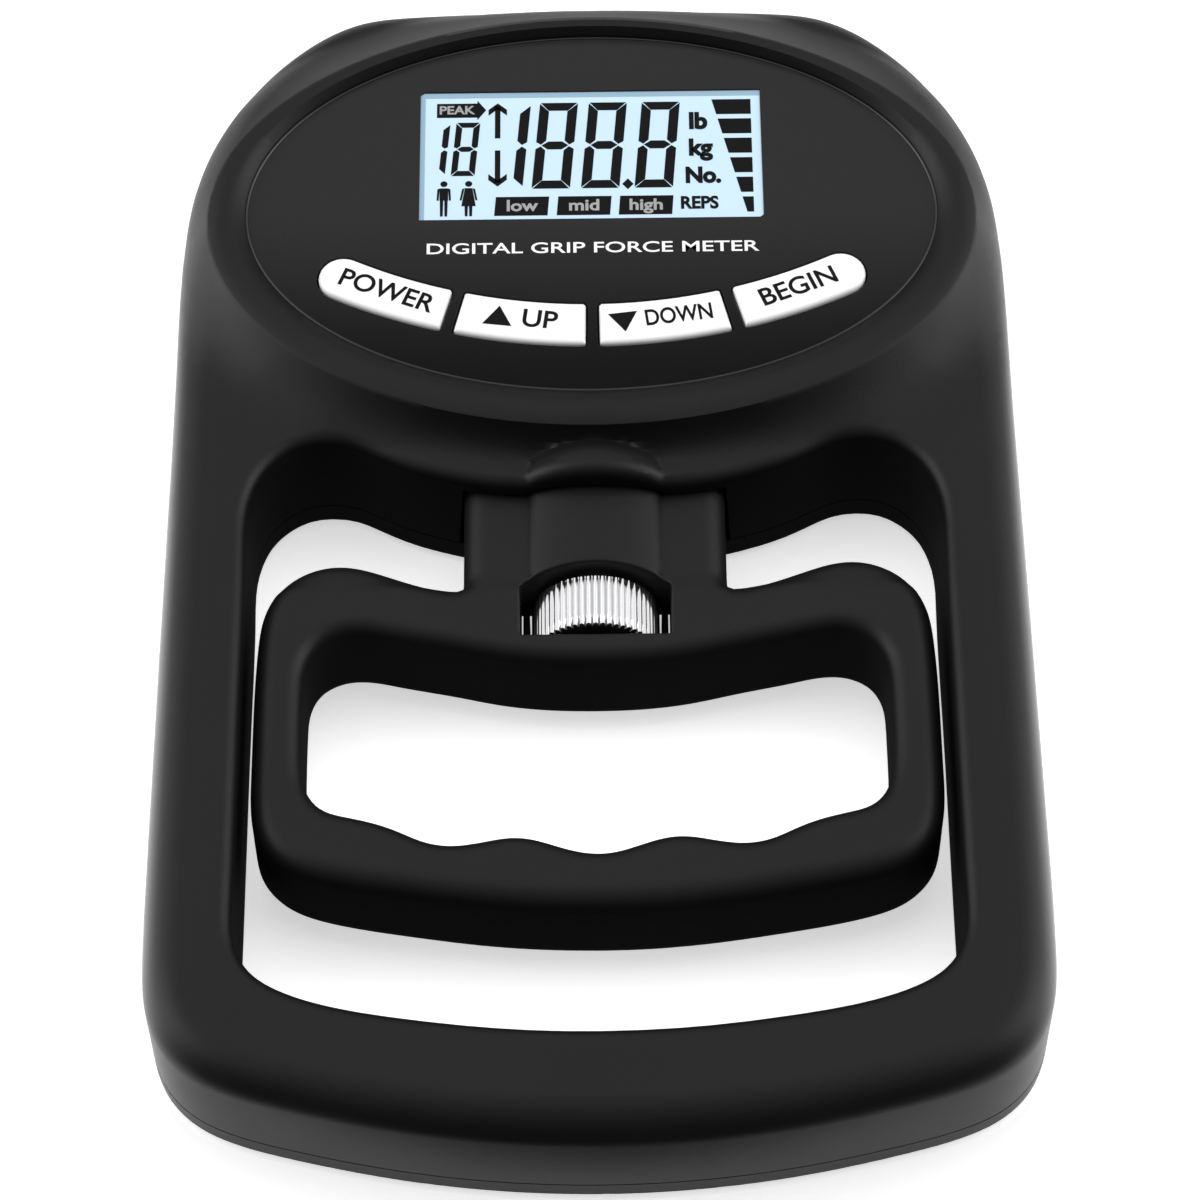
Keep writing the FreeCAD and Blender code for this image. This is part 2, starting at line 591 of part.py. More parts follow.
def make_batteries():
    """Two cells lie side by side in opposite directions, between springs and flat contacts."""
    level = size["battery_level"]
    radius = size["battery_radius"]
    body_end = size["battery_length"] - 1.0
    springs = []
    plates = []
    for number, (middle, turned) in enumerate(((57.1, 1), (68.9, -1)), start=1):
        cell = document.addObject("Part::Cylinder", f"cell_{number}")
        bind(cell, "Radius", "battery_radius")
        bind(cell, "Height", "battery_length - 1")
        nub = document.addObject("Part::Cylinder", f"nub_{number}")
        nub.Radius = 1.9
        bind(nub, "Height", "battery_length")
        start = Vector(-turned * (BOX_HALF - 4.2), middle, level)
        along = FreeCAD.Rotation(Vector(0, 0, 1), Vector(turned, 0, 0))
        for item in (cell, nub):
            item.Placement = FreeCAD.Placement(start, along)
        battery = document.addObject("Part::Fuse", f"battery_{number}")
        battery.Label = f"battery_{number}"
        battery.Base = cell
        battery.Tool = nub
        sub_parts.append(battery)
        spring = document.addObject("Part::Cone", f"spring_{number}")
        spring.Radius1 = 3.8
        spring.Radius2 = 2.4
        spring.Height = 3.6
        spring.Placement = FreeCAD.Placement(Vector(-turned * (BOX_HALF - 0.6), middle, level), along)
        springs.append(spring)
        for side in (-1, 1):
            plate = document.addObject("Part::Box", f"plate_{number}_{side + 1}")
            plate.Length = 0.5
            plate.Width = 9
            plate.Height = 9.6
            x = side * (BOX_HALF - 0.3) - 0.25
            plate.Placement = FreeCAD.Placement(Vector(x, middle - 4.5, level - 4.8), FreeCAD.Rotation())
            plates.append(plate)
    for label, members in (("battery_springs", springs), ("battery_contacts", plates)):
        group = document.addObject("Part::Compound", label)
        group.Label = label
        group.Links = members
        sub_parts.append(group)


# ---------------------------------------------------------------- force path

def make_load_cell():
    """A double beam across the casing: its ends are screwed down and the rod pulls its middle."""
    beam = new_body("load_cell")
    half = size["cell_half_length"]
    block = rectangle(-half, size["cell_low"], half, size["cell_high"])
    pad(beam, "block", block, "axis_level - cell_half_depth", "axis_level + cell_half_depth")
    middle = (size["cell_low"] + size["cell_high"]) / 2
    holes = circles(both_sides([(10.5, middle), (17.5, middle)]), 4.2)
    pocket(beam, "eyes_a", holes[:2], "axis_level - cell_half_depth", "axis_level + cell_half_depth")
    pocket(beam, "eyes_b", holes[2:], "axis_level - cell_half_depth", "axis_level + cell_half_depth")
    pocket(beam, "rod_hole", circle(0, size["axis_level"], 3.05), "cell_high", "cell_low", "XZ")
    pocket(beam, "screw_holes", circles(CELL_SCREWS, 1.65), "axis_level - cell_half_depth", "axis_level + 2")
    gauges = new_body("strain_gauges")
    foils = []
    for x in (-17.5, -10.5, 10.5, 17.5):
        foils += centred_rectangle(x, size["axis_level"], 4, 5)
    pad(gauges, "foils", foils, "cell_high + 0.2", "cell_high", "XZ")
    screws = new_body("load_cell_screws")
    pad(screws, "heads", circles(CELL_SCREWS, 2.9), "0.4", "casing_wall + 0.6")
    pad(screws, "shanks", circles(CELL_SCREWS, 1.6), "casing_wall", "axis_level + 1")
    pocket(screws, "drives", circles(CELL_SCREWS, 1.2), "0.4", "1.8")


def hexagon(across_flats):
    """A hexagon about the rod's axis, with two flats level."""
    radius = across_flats / math.sqrt(3)
    points = []
    for number in range(6):
        turn = math.radians(60 * number)
        points.append((radius * math.cos(turn), size["axis_level"] + radius * math.sin(turn)))
    return polygon(points)


def make_pull_rod():
    rod = new_body("pull_rod")
    axis = size["axis_level"]
    pad(rod, "shaft", circle(0, axis, size["rod_radius"]), "rod_high_end", "rod_low_end", "XZ")
    washer = new_body("rod_washer")
    ring = circle(0, axis, 5.2) + circle(0, axis, 3.05)
    pad(washer, "ring", ring, "cell_high + 0.9", "cell_high", "XZ")
    nut = new_body("rod_nut")
    pad(nut, "hexagon", hexagon(10.0) + circle(0, axis, 3.02), "cell_high + 5.7", "cell_high + 0.9", "XZ")


# ---------------------------------------------------------------- grip

GRIP_SCREWS = both_sides([(38.2, -10.6), (43.0, -49.0)])
KNURLS = 52


def grip_ring(wall):
    """The grip's section as two loops, each moved into the material by the wall."""
    outer = closed_curve(moved_out(grip_points(), -wall))
    inner = closed_curve(moved_out(finger_hole_points(), wall))
    return outer + inner


def window_outline():
    """The nut's window, with its upper edge arched over the bump."""
    half = size["chamber_half"]
    low = size["chamber_bottom"]
    corners = [Vector(-half, -9, 0), Vector(-half, low, 0), Vector(half, low, 0), Vector(half, -9, 0)]
    lines = [Part.LineSegment(a, b) for a, b in zip(corners, corners[1:])]
    return lines + [Part.Arc(corners[-1], Vector(0, -6.5, 0), corners[0])]


def cut_nut_chamber(body, low, high, window_low, window_high):
    """Room for the nut, its sleeve and the rod. The window opens it to the thumb."""
    half = size["chamber_half"]
    axis = size["axis_level"]
    room = rectangle(-half, size["chamber_bottom"], half, size["chamber_top"])
    pocket(body, "chamber", room, low, high)
    pocket(body, "window", window_outline(), window_low, window_high)
    pocket(body, "sleeve_bore", circle(0, axis, size["sleeve_radius"] + 0.3), "sleeve_top + 0.4",
           "chamber_top", "XZ")
    pocket(body, "rod_bore", circle(0, axis, size["rod_radius"] + 0.3), "neck_end", "chamber_bottom - 3", "XZ")


def make_grip_front():
    body = new_body("grip_front")
    front = size["grip_front"]
    pad(body, "outline", closed_curve(grip_points()), "axis_level", "grip_front")
    round_edges(body, "outer", "grip_round", lambda edge: lies_at(edge, front))
    pocket(body, "finger_hole", closed_curve(finger_hole_points()), "axis_level", "grip_front")
    round_edges(body, "hole", "finger_round", lambda edge: lies_at(edge, front, 43))
    pocket(body, "hollow", grip_ring(size["grip_wall"]), "axis_level", "grip_front - grip_floor")
    pad(body, "neck", neck_section(size["axis_level"], 0), "neck_end", "neck_low", "XZ")
    pad(body, "screw_posts", circles(GRIP_SCREWS, 2.6), "axis_level", "grip_front - grip_floor + 0.5")
    pocket(body, "screw_holes", circles(GRIP_SCREWS, 1.05), "axis_level", "grip_front - grip_floor")
    cut_nut_chamber(body, "axis_level", "grip_front - 2", "axis_level", "bump_top")


def make_grip_rear():
    body = new_body("grip_rear")
    pad(body, "outline", closed_curve(grip_points()), "grip_back", "axis_level")
    back = size["grip_back"]
    round_edges(body, "outer", "grip_round", lambda edge: lies_at(edge, back))
    pocket(body, "finger_hole", closed_curve(finger_hole_points()), "grip_back", "axis_level")
    round_edges(body, "hole", "finger_round", lambda edge: lies_at(edge, back, 43))
    pocket(body, "hollow", grip_ring(size["grip_wall"]), "grip_back + grip_floor", "axis_level")
    half = size["neck_half"]
    neck = rectangle(-half, size["neck_back"], half, size["axis_level"])
    pad(body, "neck", neck, "neck_end", "neck_low", "XZ")
    pad(body, "screw_posts", circles(GRIP_SCREWS, 2.9), "grip_back + 0.5", "axis_level")
    pocket(body, "screw_heads", circles(GRIP_SCREWS, 2.2), "grip_back", "grip_back + 2.6")
    pocket(body, "screw_holes", circles(GRIP_SCREWS, 1.3), "grip_back", "axis_level")
    cut_nut_chamber(body, "grip_back + 2", "axis_level", "grip_back", "axis_level")


def make_grip_screws():
    body = new_body("grip_screws")
    pad(body, "heads", circles(GRIP_SCREWS, 2.0), "grip_back + 0.8", "grip_back + 2.6")
    pad(body, "shanks", circles(GRIP_SCREWS, 1.0), "grip_back + 2", "grip_front - grip_floor - 1")


def knurled_outline():
    """A toothed circle about the rod's axis."""
    points = []
    for number in range(2 * KNURLS):
        radius = size["knob_radius"] - (0.45 if number % 2 else 0)
        turn = math.pi * number / KNURLS
        points.append((radius * math.cos(turn), size["axis_level"] + radius * math.sin(turn)))
    return polygon(points)


def make_thumb_knob():
    """The knurled nut turns in the grip's window, and its sleeve lengthens the thread."""
    body = new_body("thumb_knob")
    axis = size["axis_level"]
    pad(body, "knurl", knurled_outline(), "knob_top - 0.8", "knob_bottom + 0.8", "XZ")
    pad(body, "rims", circle(0, axis, size["knob_radius"] - 0.7), "knob_top", "knob_bottom", "XZ")
    pad(body, "sleeve", circle(0, axis, size["sleeve_radius"]), "sleeve_top", "knob_top - 1", "XZ")
    pocket(body, "thread", circle(0, axis, size["rod_radius"] + size["running_gap"]), "sleeve_top",
           "knob_bottom", "XZ")
    washer = new_body("knob_washer")
    ring = circle(0, axis, 6.3) + circle(0, axis, size["sleeve_radius"] + 0.3)
    pad(washer, "ring", ring, "chamber_top", "knob_top + 0.1", "XZ")


# ---------------------------------------------------------------- the whole object

make_front_casing()
make_rear_casing()
make_casing_screws()
make_battery_door()
make_display_panel()
make_keys()
make_switches()
make_display()
make_board()
make_wires()
make_batteries()
make_load_cell()
make_pull_rod()
make_grip_front()
make_grip_rear()
make_grip_screws()
make_thumb_knob()

document.recompute()
for item in document.Objects:
    if "Invalid" in item.State or "Error" in item.State:
        raise RuntimeError(f"{item.Label}: {item.State}")
for sub_part in sub_parts:
    if sub_part.Shape.isNull() or not sub_part.Shape.isValid():
        raise RuntimeError(f"{sub_part.Label}: its shape isn't valid")

os.makedirs("parts", exist_ok=True)
for sub_part in sub_parts:
    sub_part.Shape.exportStep(f"parts/{sub_part.Label}.step")
    shape = sub_part.Shape
    print(f"{sub_part.Label}: {len(shape.Solids)} solid(s), {shape.Volume / 1000:.2f} cm3")
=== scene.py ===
import json
import math

import bmesh
import bpy
import numpy as np
from mathutils import Matrix, Vector
from mathutils.geometry import delaunay_2d_cdt


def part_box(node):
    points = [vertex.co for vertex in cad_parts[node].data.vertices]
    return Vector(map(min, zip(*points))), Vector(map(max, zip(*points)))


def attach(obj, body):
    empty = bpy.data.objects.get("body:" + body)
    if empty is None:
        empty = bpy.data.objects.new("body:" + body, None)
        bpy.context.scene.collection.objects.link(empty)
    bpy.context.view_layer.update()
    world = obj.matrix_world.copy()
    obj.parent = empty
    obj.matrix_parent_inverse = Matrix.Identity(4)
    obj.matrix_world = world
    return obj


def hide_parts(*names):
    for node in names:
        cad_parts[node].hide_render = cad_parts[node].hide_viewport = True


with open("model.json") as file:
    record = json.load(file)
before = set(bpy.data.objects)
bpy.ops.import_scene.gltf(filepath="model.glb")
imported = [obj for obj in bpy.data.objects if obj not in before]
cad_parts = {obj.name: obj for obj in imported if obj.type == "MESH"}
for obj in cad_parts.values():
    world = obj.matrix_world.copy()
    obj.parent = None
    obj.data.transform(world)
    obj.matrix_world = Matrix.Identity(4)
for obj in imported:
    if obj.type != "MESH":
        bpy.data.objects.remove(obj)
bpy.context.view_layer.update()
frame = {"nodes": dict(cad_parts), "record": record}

# Lengths are in millimetres here, in the frame's own axes, and MM turns them into metres.
MM = 0.001
NODES = frame["nodes"]
# Rings of points over a wide and over a narrow rounded edge.
RINGS = 7
SMALL_RINGS = 3
# The least distance of a guide line from a rim, and how near a point counts as on the rim.
GUIDE_GAP = 0.15
ON_RIM = 0.003


def box_mm(node):
    low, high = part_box(node)
    return np.array(low) / MM, np.array(high) / MM


# ---------------------------------------------------------------- sizes read from the frame

PANEL_LOW, PANEL_HIGH = box_mm("display_panel")
PANEL_HALF = (PANEL_HIGH - PANEL_LOW)[:2] / 2
PANEL_MIDDLE = (PANEL_HIGH + PANEL_LOW)[:2] / 2
PANEL_TOP = PANEL_HIGH[2]
CASING_LOW, CASING_HIGH = box_mm("front_casing")
RIDGE_TOP = CASING_HIGH[2]
SEAM = CASING_LOW[2]
GRIP_SPLIT = box_mm("grip_front")[0][2]
NUT_LOW, NUT_HIGH = box_mm("thumb_knob")
GLASS_LOW, GLASS_HIGH = box_mm("lcd_glass")
AXIS_Z = (NUT_LOW[2] + NUT_HIGH[2]) / 2
WINDOW_HALF = np.array([26.2, 12.2])
WINDOW_MIDDLE = (GLASS_LOW + GLASS_HIGH)[:2] / 2

BAR_TOP = 23.0
CASING_ROUND = 5.5
OPENING_ROUND = 2.0
RIDGE_HALF = PANEL_HALF + np.array([5.8, 5.1])
RIDGE_MIDDLE = PANEL_MIDDLE - np.array([0.0, 1.9])
SLOT_TOP = 20.1
SLOT_HALF = 19.8
BUMP_HALF = 9.7
GRIP_TOP = 20.0
GRIP_ROUND = 3.5
FINGER_ROUND = 2.6
NECK_TOP = 19.6


# ---------------------------------------------------------------- plane curves

def section_loops(node, level):
    """The closed loops in which a level plane cuts a CAD node."""
    mesh = bmesh.new()
    mesh.from_mesh(NODES[node].data)
    bmesh.ops.remove_doubles(mesh, verts=mesh.verts, dist=1e-7)
    everything = mesh.verts[:] + mesh.edges[:] + mesh.faces[:]
    plane = Vector((0, 0, level * MM))
    cut = bmesh.ops.bisect_plane(mesh, geom=everything, plane_co=plane, plane_no=(0, 0, 1))
    # Dictionaries keep their order, so every run walks the loops in the same way.
    neighbours = {}
    for edge in cut["geom_cut"]:
        if isinstance(edge, bmesh.types.BMEdge):
            a, b = edge.verts
            neighbours.setdefault(a, []).append(b)
            neighbours.setdefault(b, []).append(a)
    loops = []
    unused = dict.fromkeys(neighbours)
    while unused:
        here = next(iter(unused))
        del unused[here]
        loop = [here]
        while True:
            following = [vert for vert in neighbours[here] if vert in unused]
            if not following:
                break
            here = following[0]
            del unused[here]
            loop.append(here)
        if len(loop) > 8:
            loops.append(in_order(np.array([(v.co.x, v.co.y) for v in loop]) / MM))
    mesh.free()
    return loops


def area(loop):
    following = np.roll(loop, -1, axis=0)
    return 0.5 * np.sum(loop[:, 0] * following[:, 1] - following[:, 0] * loop[:, 1])


def in_order(loop):
    """The loop anticlockwise from its lowest point, whichever way it was walked."""
    loop = loop if area(loop) > 0 else loop[::-1]
    first = np.lexsort((loop[:, 0], loop[:, 1]))[0]
    return np.roll(loop, -first, axis=0)


def inside(points, loop):
    """Which points lie inside a closed loop, by counting crossings."""
    result = np.zeros(len(points), bool)
    for a, b in zip(loop, np.roll(loop, -1, axis=0)):
        if a[1] == b[1]:
            continue
        spans = (points[:, 1] < a[1]) != (points[:, 1] < b[1])
        crossing = a[0] + (points[:, 1] - a[1]) * (b[0] - a[0]) / (b[1] - a[1])
        result ^= spans & (points[:, 0] < crossing)
    return result


def loops_round(node, level, point):
    """The section's loops that go round a point, smallest first."""
    spot = np.array([point], float)
    found = [loop for loop in section_loops(node, level) if inside(spot, loop)[0]]
    return sorted(found, key=area)


def evenly(loop, step):
    closed = np.vstack([loop, loop[:1]])
    along = np.concatenate([[0], np.cumsum(np.linalg.norm(np.diff(closed, axis=0), axis=1))])
    count = max(8, int(round(along[-1] / step)))
    places = np.arange(count) * along[-1] / count
    return np.column_stack([np.interp(places, along, closed[:, k]) for k in (0, 1)])


def softened(loop, step, reach):
    """A loop with even steps, and with its corners rounded over about the reach."""
    fine = evenly(loop, 0.25)
    if reach > 0:
        places = np.arange(len(fine)) * 0.25
        places = np.minimum(places, places[-1] + 0.25 - places)
        weights = np.exp(-0.5 * (places / reach) ** 2)
        weights = np.fft.rfft(weights / weights.sum())
        fine = np.column_stack([np.fft.irfft(np.fft.rfft(fine[:, k]) * weights, len(fine)) for k in (0, 1)])
    return evenly(fine, step)


def moved(loop, distance):
    """An anticlockwise loop moved inwards along its normals."""
    along = np.roll(loop, -1, axis=0) - np.roll(loop, 1, axis=0)
    along /= np.linalg.norm(along, axis=1)[:, None]
    return loop + distance * np.column_stack([-along[:, 1], along[:, 0]])


def distance_to(points, loop):
    """The distance of each point from a closed loop."""
    best = np.full(len(points), 1e9)
    for a, b in zip(loop, np.roll(loop, -1, axis=0)):
        along = b - a
        share = np.clip(((points - a) @ along) / (along @ along), 0, 1)
        best = np.minimum(best, np.linalg.norm(points - a - share[:, None] * along, axis=1))
    return best


def oval(middle, half, count=260):
    turn = np.linspace(0, 2 * math.pi, count, endpoint=False)
    return np.column_stack([middle[0] + half[0] * np.cos(turn), middle[1] + half[1] * np.sin(turn)])


def block(low_x, low_y, high_x, high_y, step=1.0):
    corners = np.array([(low_x, low_y), (high_x, low_y), (high_x, high_y), (low_x, high_y)], float)
    return evenly(corners, step)


# ---------------------------------------------------------------- mesh building

def make_object(name, mesh, material):
    mesh.materials.append(material)
    piece = bpy.data.objects.new(name, mesh)
    bpy.context.scene.collection.objects.link(piece)
    return piece


def smooth(mesh, degrees=38):
    mesh.shade_smooth()
    mesh.set_sharp_from_angle(angle=math.radians(degrees))


def rounding(depth, radius):
    """How far a rounded edge has fallen at a depth inside the rim."""
    inner = np.clip(radius - depth, 0, radius)
    return radius - np.sqrt(np.maximum(radius ** 2 - inner ** 2, 0))


def ring_edges(start, count):
    """The edges of a closed ring of points numbered from start."""
    return [(start + k, start + (k + 1) % count) for k in range(count)]


def add_rims(rims, radii, points, edges):
    """Rings of points over each rim's rounded edge. The first rim is the outline."""
    for number, (rim, radius) in enumerate(zip(rims, radii)):
        rings = RINGS if radius > 1 else SMALL_RINGS
        for ring in range(rings + 1):
            depth = radius * (1 - math.cos(math.pi / 2 * ring / rings))
            edges.extend(ring_edges(len(points), len(rim)))
            points.extend(moved(rim, depth if number == 0 else -depth))


def add_guides(guides, rims, points, edges):
    """Lines that the mesh follows where the surface bends. Gives the points that were kept."""
    kept = []
    for guide in guides:
        keep = inside(guide, rims[0]) & (distance_to(guide, rims[0]) > GUIDE_GAP)
        for hole in rims[1:]:
            keep &= ~inside(guide, hole) & (distance_to(guide, hole) > GUIDE_GAP)
        if keep.all():
            edges.extend(ring_edges(len(points), len(guide)))
            points.extend(guide)
        else:
            for k in np.flatnonzero(keep & np.roll(keep, -1)):
                edges.append((len(points), len(points) + 1))
                points.extend([guide[k], guide[(k + 1) % len(guide)]])
        kept.append(guide[keep])
    return kept


def add_grid(rims, radii, kept, step, points):
    """A triangular grid of points over the rest of the face."""
    low = rims[0].min(axis=0)
    high = rims[0].max(axis=0)
    rows = np.arange(low[1], high[1], step * 0.87)
    grid_x, grid_y = np.meshgrid(np.arange(low[0], high[0], step), rows)
    grid_x[1::2] += step / 2
    grid = np.column_stack([grid_x.ravel(), grid_y.ravel()])
    keep = inside(grid, rims[0]) & (distance_to(grid, rims[0]) > radii[0] + 0.5 * step)
    for hole, radius in zip(rims[1:], radii[1:]):
        keep &= ~inside(grid, hole) & (distance_to(grid, hole) > radius + 0.5 * step)
    for guide in kept:
        if len(guide):
            gap = np.full(len(grid), 1e9)
            for spot in guide:
                gap = np.minimum(gap, np.abs(grid - spot).max(axis=1))
            keep &= gap > 0.55 * step
    points.extend(grid[keep])


def triangulated(points, edges, rims):
    """The places and triangles of the face between the outline and the holes."""
    flat = [Vector((float(x), float(y))) for x, y in points]
    verts, _, faces, *_ = delaunay_2d_cdt(flat, edges, [], 0, 1e-4)
    places = np.array([(v.x, v.y) for v in verts])
    triangles = np.array([face for face in faces if len(face) == 3])
    middles = places[triangles].mean(axis=1)
    keep = inside(middles, rims[0])
    for hole in rims[1:]:
        keep &= ~inside(middles, hole)
    for rim in rims:
        # A triangle with all three corners on one rim is a sliver along a straight stretch of it.
        on_rim = distance_to(places, rim) < ON_RIM
        keep &= ~on_rim[triangles].all(axis=1)
    return places, triangles[keep]


def add_walls(shell, foot):
    """Upright walls from every open edge down to the foot."""
    border = [edge for edge in shell.edges if edge.is_boundary]
    upper = list(dict.fromkeys(vert for edge in border for vert in edge.verts))
    spots = np.array([(vert.co.x, vert.co.y) for vert in upper])
    lower = {}
    for vert, level in zip(upper, foot(spots[:, 0], spots[:, 1])):
        lower[vert] = shell.verts.new((vert.co.x, vert.co.y, level))
    for edge in border:
        first, second = edge.verts
        shell.faces.new((first, second, lower[second], lower[first]))


def sculpt(name, rims, radii, top, foot, material, step=2.0, guides=()):
    """A moulding: a sculpted face between rims with rounded edges, and walls down to its foot.

    The first rim is the outline and the others are holes. top gives the face's height at each
    point, and foot the walls' lower end.
    """
    points = []
    edges = []
    add_rims(rims, radii, points, edges)
    kept = add_guides(guides, rims, points, edges)
    add_grid(rims, radii, kept, step, points)
    places, triangles = triangulated(points, edges, rims)
    height = top(places[:, 0], places[:, 1])
    for rim, radius in zip(rims, radii):
        height = height - rounding(distance_to(places, rim), radius)
    shell = bmesh.new()
    corners = [shell.verts.new((x, y, z)) for (x, y), z in zip(places, height)]
    for a, b, c in triangles:
        shell.faces.new((corners[a], corners[b], corners[c]))
    for vert in [v for v in shell.verts if not v.link_faces]:
        shell.verts.remove(vert)
    add_walls(shell, foot)
    bmesh.ops.recalc_face_normals(shell, faces=shell.faces)
    if sum(face.normal.z * face.calc_area() for face in shell.faces) < 0:
        bmesh.ops.reverse_faces(shell, faces=shell.faces)
    bmesh.ops.scale(shell, vec=(MM, MM, MM), verts=shell.verts)
    mesh = bpy.data.meshes.new(name)
    shell.to_mesh(mesh)
    shell.free()
    smooth(mesh)
    return make_object(name, mesh, material)


def level_at(value):
    return lambda x, y: np.full(len(x), float(value))


def flat_shapes(name, shapes, level, material):
    """Printed or displayed shapes: flat polygons at one level."""
    mesh = bmesh.new()
    for shape in shapes:
        mesh.faces.new([mesh.verts.new((x * MM, y * MM, level * MM)) for x, y in shape])
    bmesh.ops.recalc_face_normals(mesh, faces=mesh.faces)
    for face in mesh.faces:
        face.normal_update()
        if face.normal.z < 0:
            face.normal_flip()
    data = bpy.data.meshes.new(name)
    mesh.to_mesh(data)
    mesh.free()
    return make_object(name, data, material)


def lettering(name, text, place, height, material, turn=0.0, width=1.0, align="CENTER", weight=0.0):
    """Flat lettering, as a mesh. place is its middle, height that of a capital, weight in millimetres."""
    curve = bpy.data.curves.new(name, "FONT")
    curve.body = text
    curve.align_x = align
    curve.align_y = "CENTER"
    curve.size = height * MM / 0.72
    curve.offset = weight * MM
    curve.resolution_u = 6
    source = bpy.data.objects.new(name + "_source", curve)
    bpy.context.scene.collection.objects.link(source)
    bpy.context.view_layer.update()
    mesh = bpy.data.meshes.new_from_object(source)
    bpy.data.objects.remove(source)
    turned = Matrix.Rotation(turn, 4, "Z") @ Matrix.Diagonal((width, 1, 1, 1))
    mesh.transform(Matrix.Translation(Vector(place) * MM) @ turned)
    mesh.materials.clear()
    return make_object(name, mesh, material)


# ---------------------------------------------------------------- materials

def new_material(name, colour, roughness, metallic=0.0):
    material = bpy.data.materials.new(name)
    material.use_nodes = True
    shader = material.node_tree.nodes["Principled BSDF"]
    shader.inputs["Base Color"].default_value = (*colour, 1)
    shader.inputs["Roughness"].default_value = roughness
    shader.inputs["Metallic"].default_value = metallic
    return material, material.node_tree, shader


def add_noise(tree, scale, detail=2.0):
    place = tree.nodes.new("ShaderNodeTexCoord")
    noise = tree.nodes.new("ShaderNodeTexNoise")
    noise.inputs["Scale"].default_value = scale
    noise.inputs["Detail"].default_value = detail
    tree.links.new(place.outputs["Object"], noise.inputs["Vector"])
    return noise


def add_bump(tree, shader, height, strength, distance):
    bump = tree.nodes.new("ShaderNodeBump")
    bump.inputs["Strength"].default_value = strength
    bump.inputs["Distance"].default_value = distance
    tree.links.new(height, bump.inputs["Height"])
    tree.links.new(bump.outputs["Normal"], shader.inputs["Normal"])


def vary(tree, source, low, high, target):
    """Drive a shader input between two values, or two colours, by a noise."""
    ramp = tree.nodes.new("ShaderNodeMapRange" if isinstance(low, float) else "ShaderNodeMix")
    if isinstance(low, float):
        ramp.inputs["To Min"].default_value = low
        ramp.inputs["To Max"].default_value = high
        tree.links.new(source, ramp.inputs["Value"])
        tree.links.new(ramp.outputs["Result"], target)
        return
    ramp.data_type = "RGBA"
    ramp.inputs["A"].default_value = (*low, 1)
    ramp.inputs["B"].default_value = (*high, 1)
    tree.links.new(source, ramp.inputs["Factor"])
    tree.links.new(ramp.outputs["Result"], target)


def moulded_plastic(name, dark, light, roughness, grain, specular=0.3):
    """Spark-eroded plastic: a fine grain in the surface, and a slight mottle in its sheen."""
    material, tree, shader = new_material(name, dark, roughness)
    shader.inputs["Specular IOR Level"].default_value = specular
    mottle = add_noise(tree, 60, 3)
    vary(tree, mottle.outputs["Fac"], dark, light, shader.inputs["Base Color"])
    vary(tree, mottle.outputs["Fac"], roughness - 0.03, roughness + 0.04, shader.inputs["Roughness"])
    fine = add_noise(tree, 2600, 4)
    add_bump(tree, shader, fine.outputs["Fac"], grain, 0.00008)
    return material


def panel_with_painted_reflection(name):
    """Satin black sheet, coloured a little lighter towards its upper edge as a painted reflection."""
    material, tree, shader = new_material(name, (0.01, 0.01, 0.01), 0.22)
    shader.inputs["Specular IOR Level"].default_value = 0.12
    place = tree.nodes.new("ShaderNodeTexCoord")
    axes = tree.nodes.new("ShaderNodeSeparateXYZ")
    tree.links.new(place.outputs["Object"], axes.inputs["Vector"])
    share = tree.nodes.new("ShaderNodeMapRange")
    share.inputs["From Min"].default_value = 0.022
    share.inputs["From Max"].default_value = 0.056
    share.interpolation_type = "SMOOTHSTEP"
    tree.links.new(axes.outputs["Y"], share.inputs["Value"])
    # Painted reflection: the base colour goes from near black low on the panel to dark grey at its upper
    # edge.
    dark = (0.001, 0.001, 0.001)
    light = (0.019, 0.019, 0.019)
    vary(tree, share.outputs["Result"], dark, light, shader.inputs["Base Color"])
    fine = add_noise(tree, 900, 2)
    add_bump(tree, shader, fine.outputs["Fac"], 0.02, 0.00005)
    return material


def plain_metal(name, colour, roughness, streak=0.05):
    material, tree, shader = new_material(name, colour, roughness, 1.0)
    streaks = add_noise(tree, 900, 3)
    vary(tree, streaks.outputs["Fac"], roughness - streak, roughness + streak, shader.inputs["Roughness"])
    add_bump(tree, shader, streaks.outputs["Fac"], 0.08, 0.00003)
    return material


def glowing(name, colour, strength):
    material, tree, shader = new_material(name, colour, 0.35)
    patch = add_noise(tree, 25, 1)
    softer = tuple(channel * 0.985 for channel in colour)
    vary(tree, patch.outputs["Fac"], softer, colour, shader.inputs["Base Color"])
    shader.inputs["Emission Color"].default_value = (*colour, 1)
    shader.inputs["Emission Strength"].default_value = strength
    return material


CASING_PLASTIC = moulded_plastic("casing_plastic", (0.0022, 0.0022, 0.0024),
                                 (0.0038, 0.0038, 0.0040), 0.46, 0.25)
GRIP_PLASTIC = moulded_plastic("grip_plastic", (0.0028, 0.0028, 0.0030),
                               (0.0044, 0.0044, 0.0046), 0.50, 0.3)
PANEL_PLASTIC = panel_with_painted_reflection("panel_plastic")
GLOSSY_TRIM = moulded_plastic("glossy_trim", (0.006, 0.006, 0.006), (0.009, 0.009, 0.009), 0.2, 0.02, 0.6)
KEY_PLASTIC = moulded_plastic("key_plastic", (0.86, 0.86, 0.87), (0.90, 0.90, 0.90), 0.22, 0.03, 0.5)
WHITE_INK = moulded_plastic("white_ink", (0.82, 0.82, 0.82), (0.86, 0.86, 0.86), 0.5, 0.05)
BLACK_INK = moulded_plastic("black_ink", (0.004, 0.004, 0.004), (0.006, 0.006, 0.006), 0.55, 0.05, 0.1)
GREY_INK = moulded_plastic("grey_ink", (0.30, 0.30, 0.30), (0.34, 0.34, 0.34), 0.5, 0.05)
FLOOR_WHITE = glowing("floor_white", (0.92, 0.92, 0.92), 0.62)
DISPLAY_FACE = glowing("display_face", (0.40, 0.53, 0.64), 0.40)
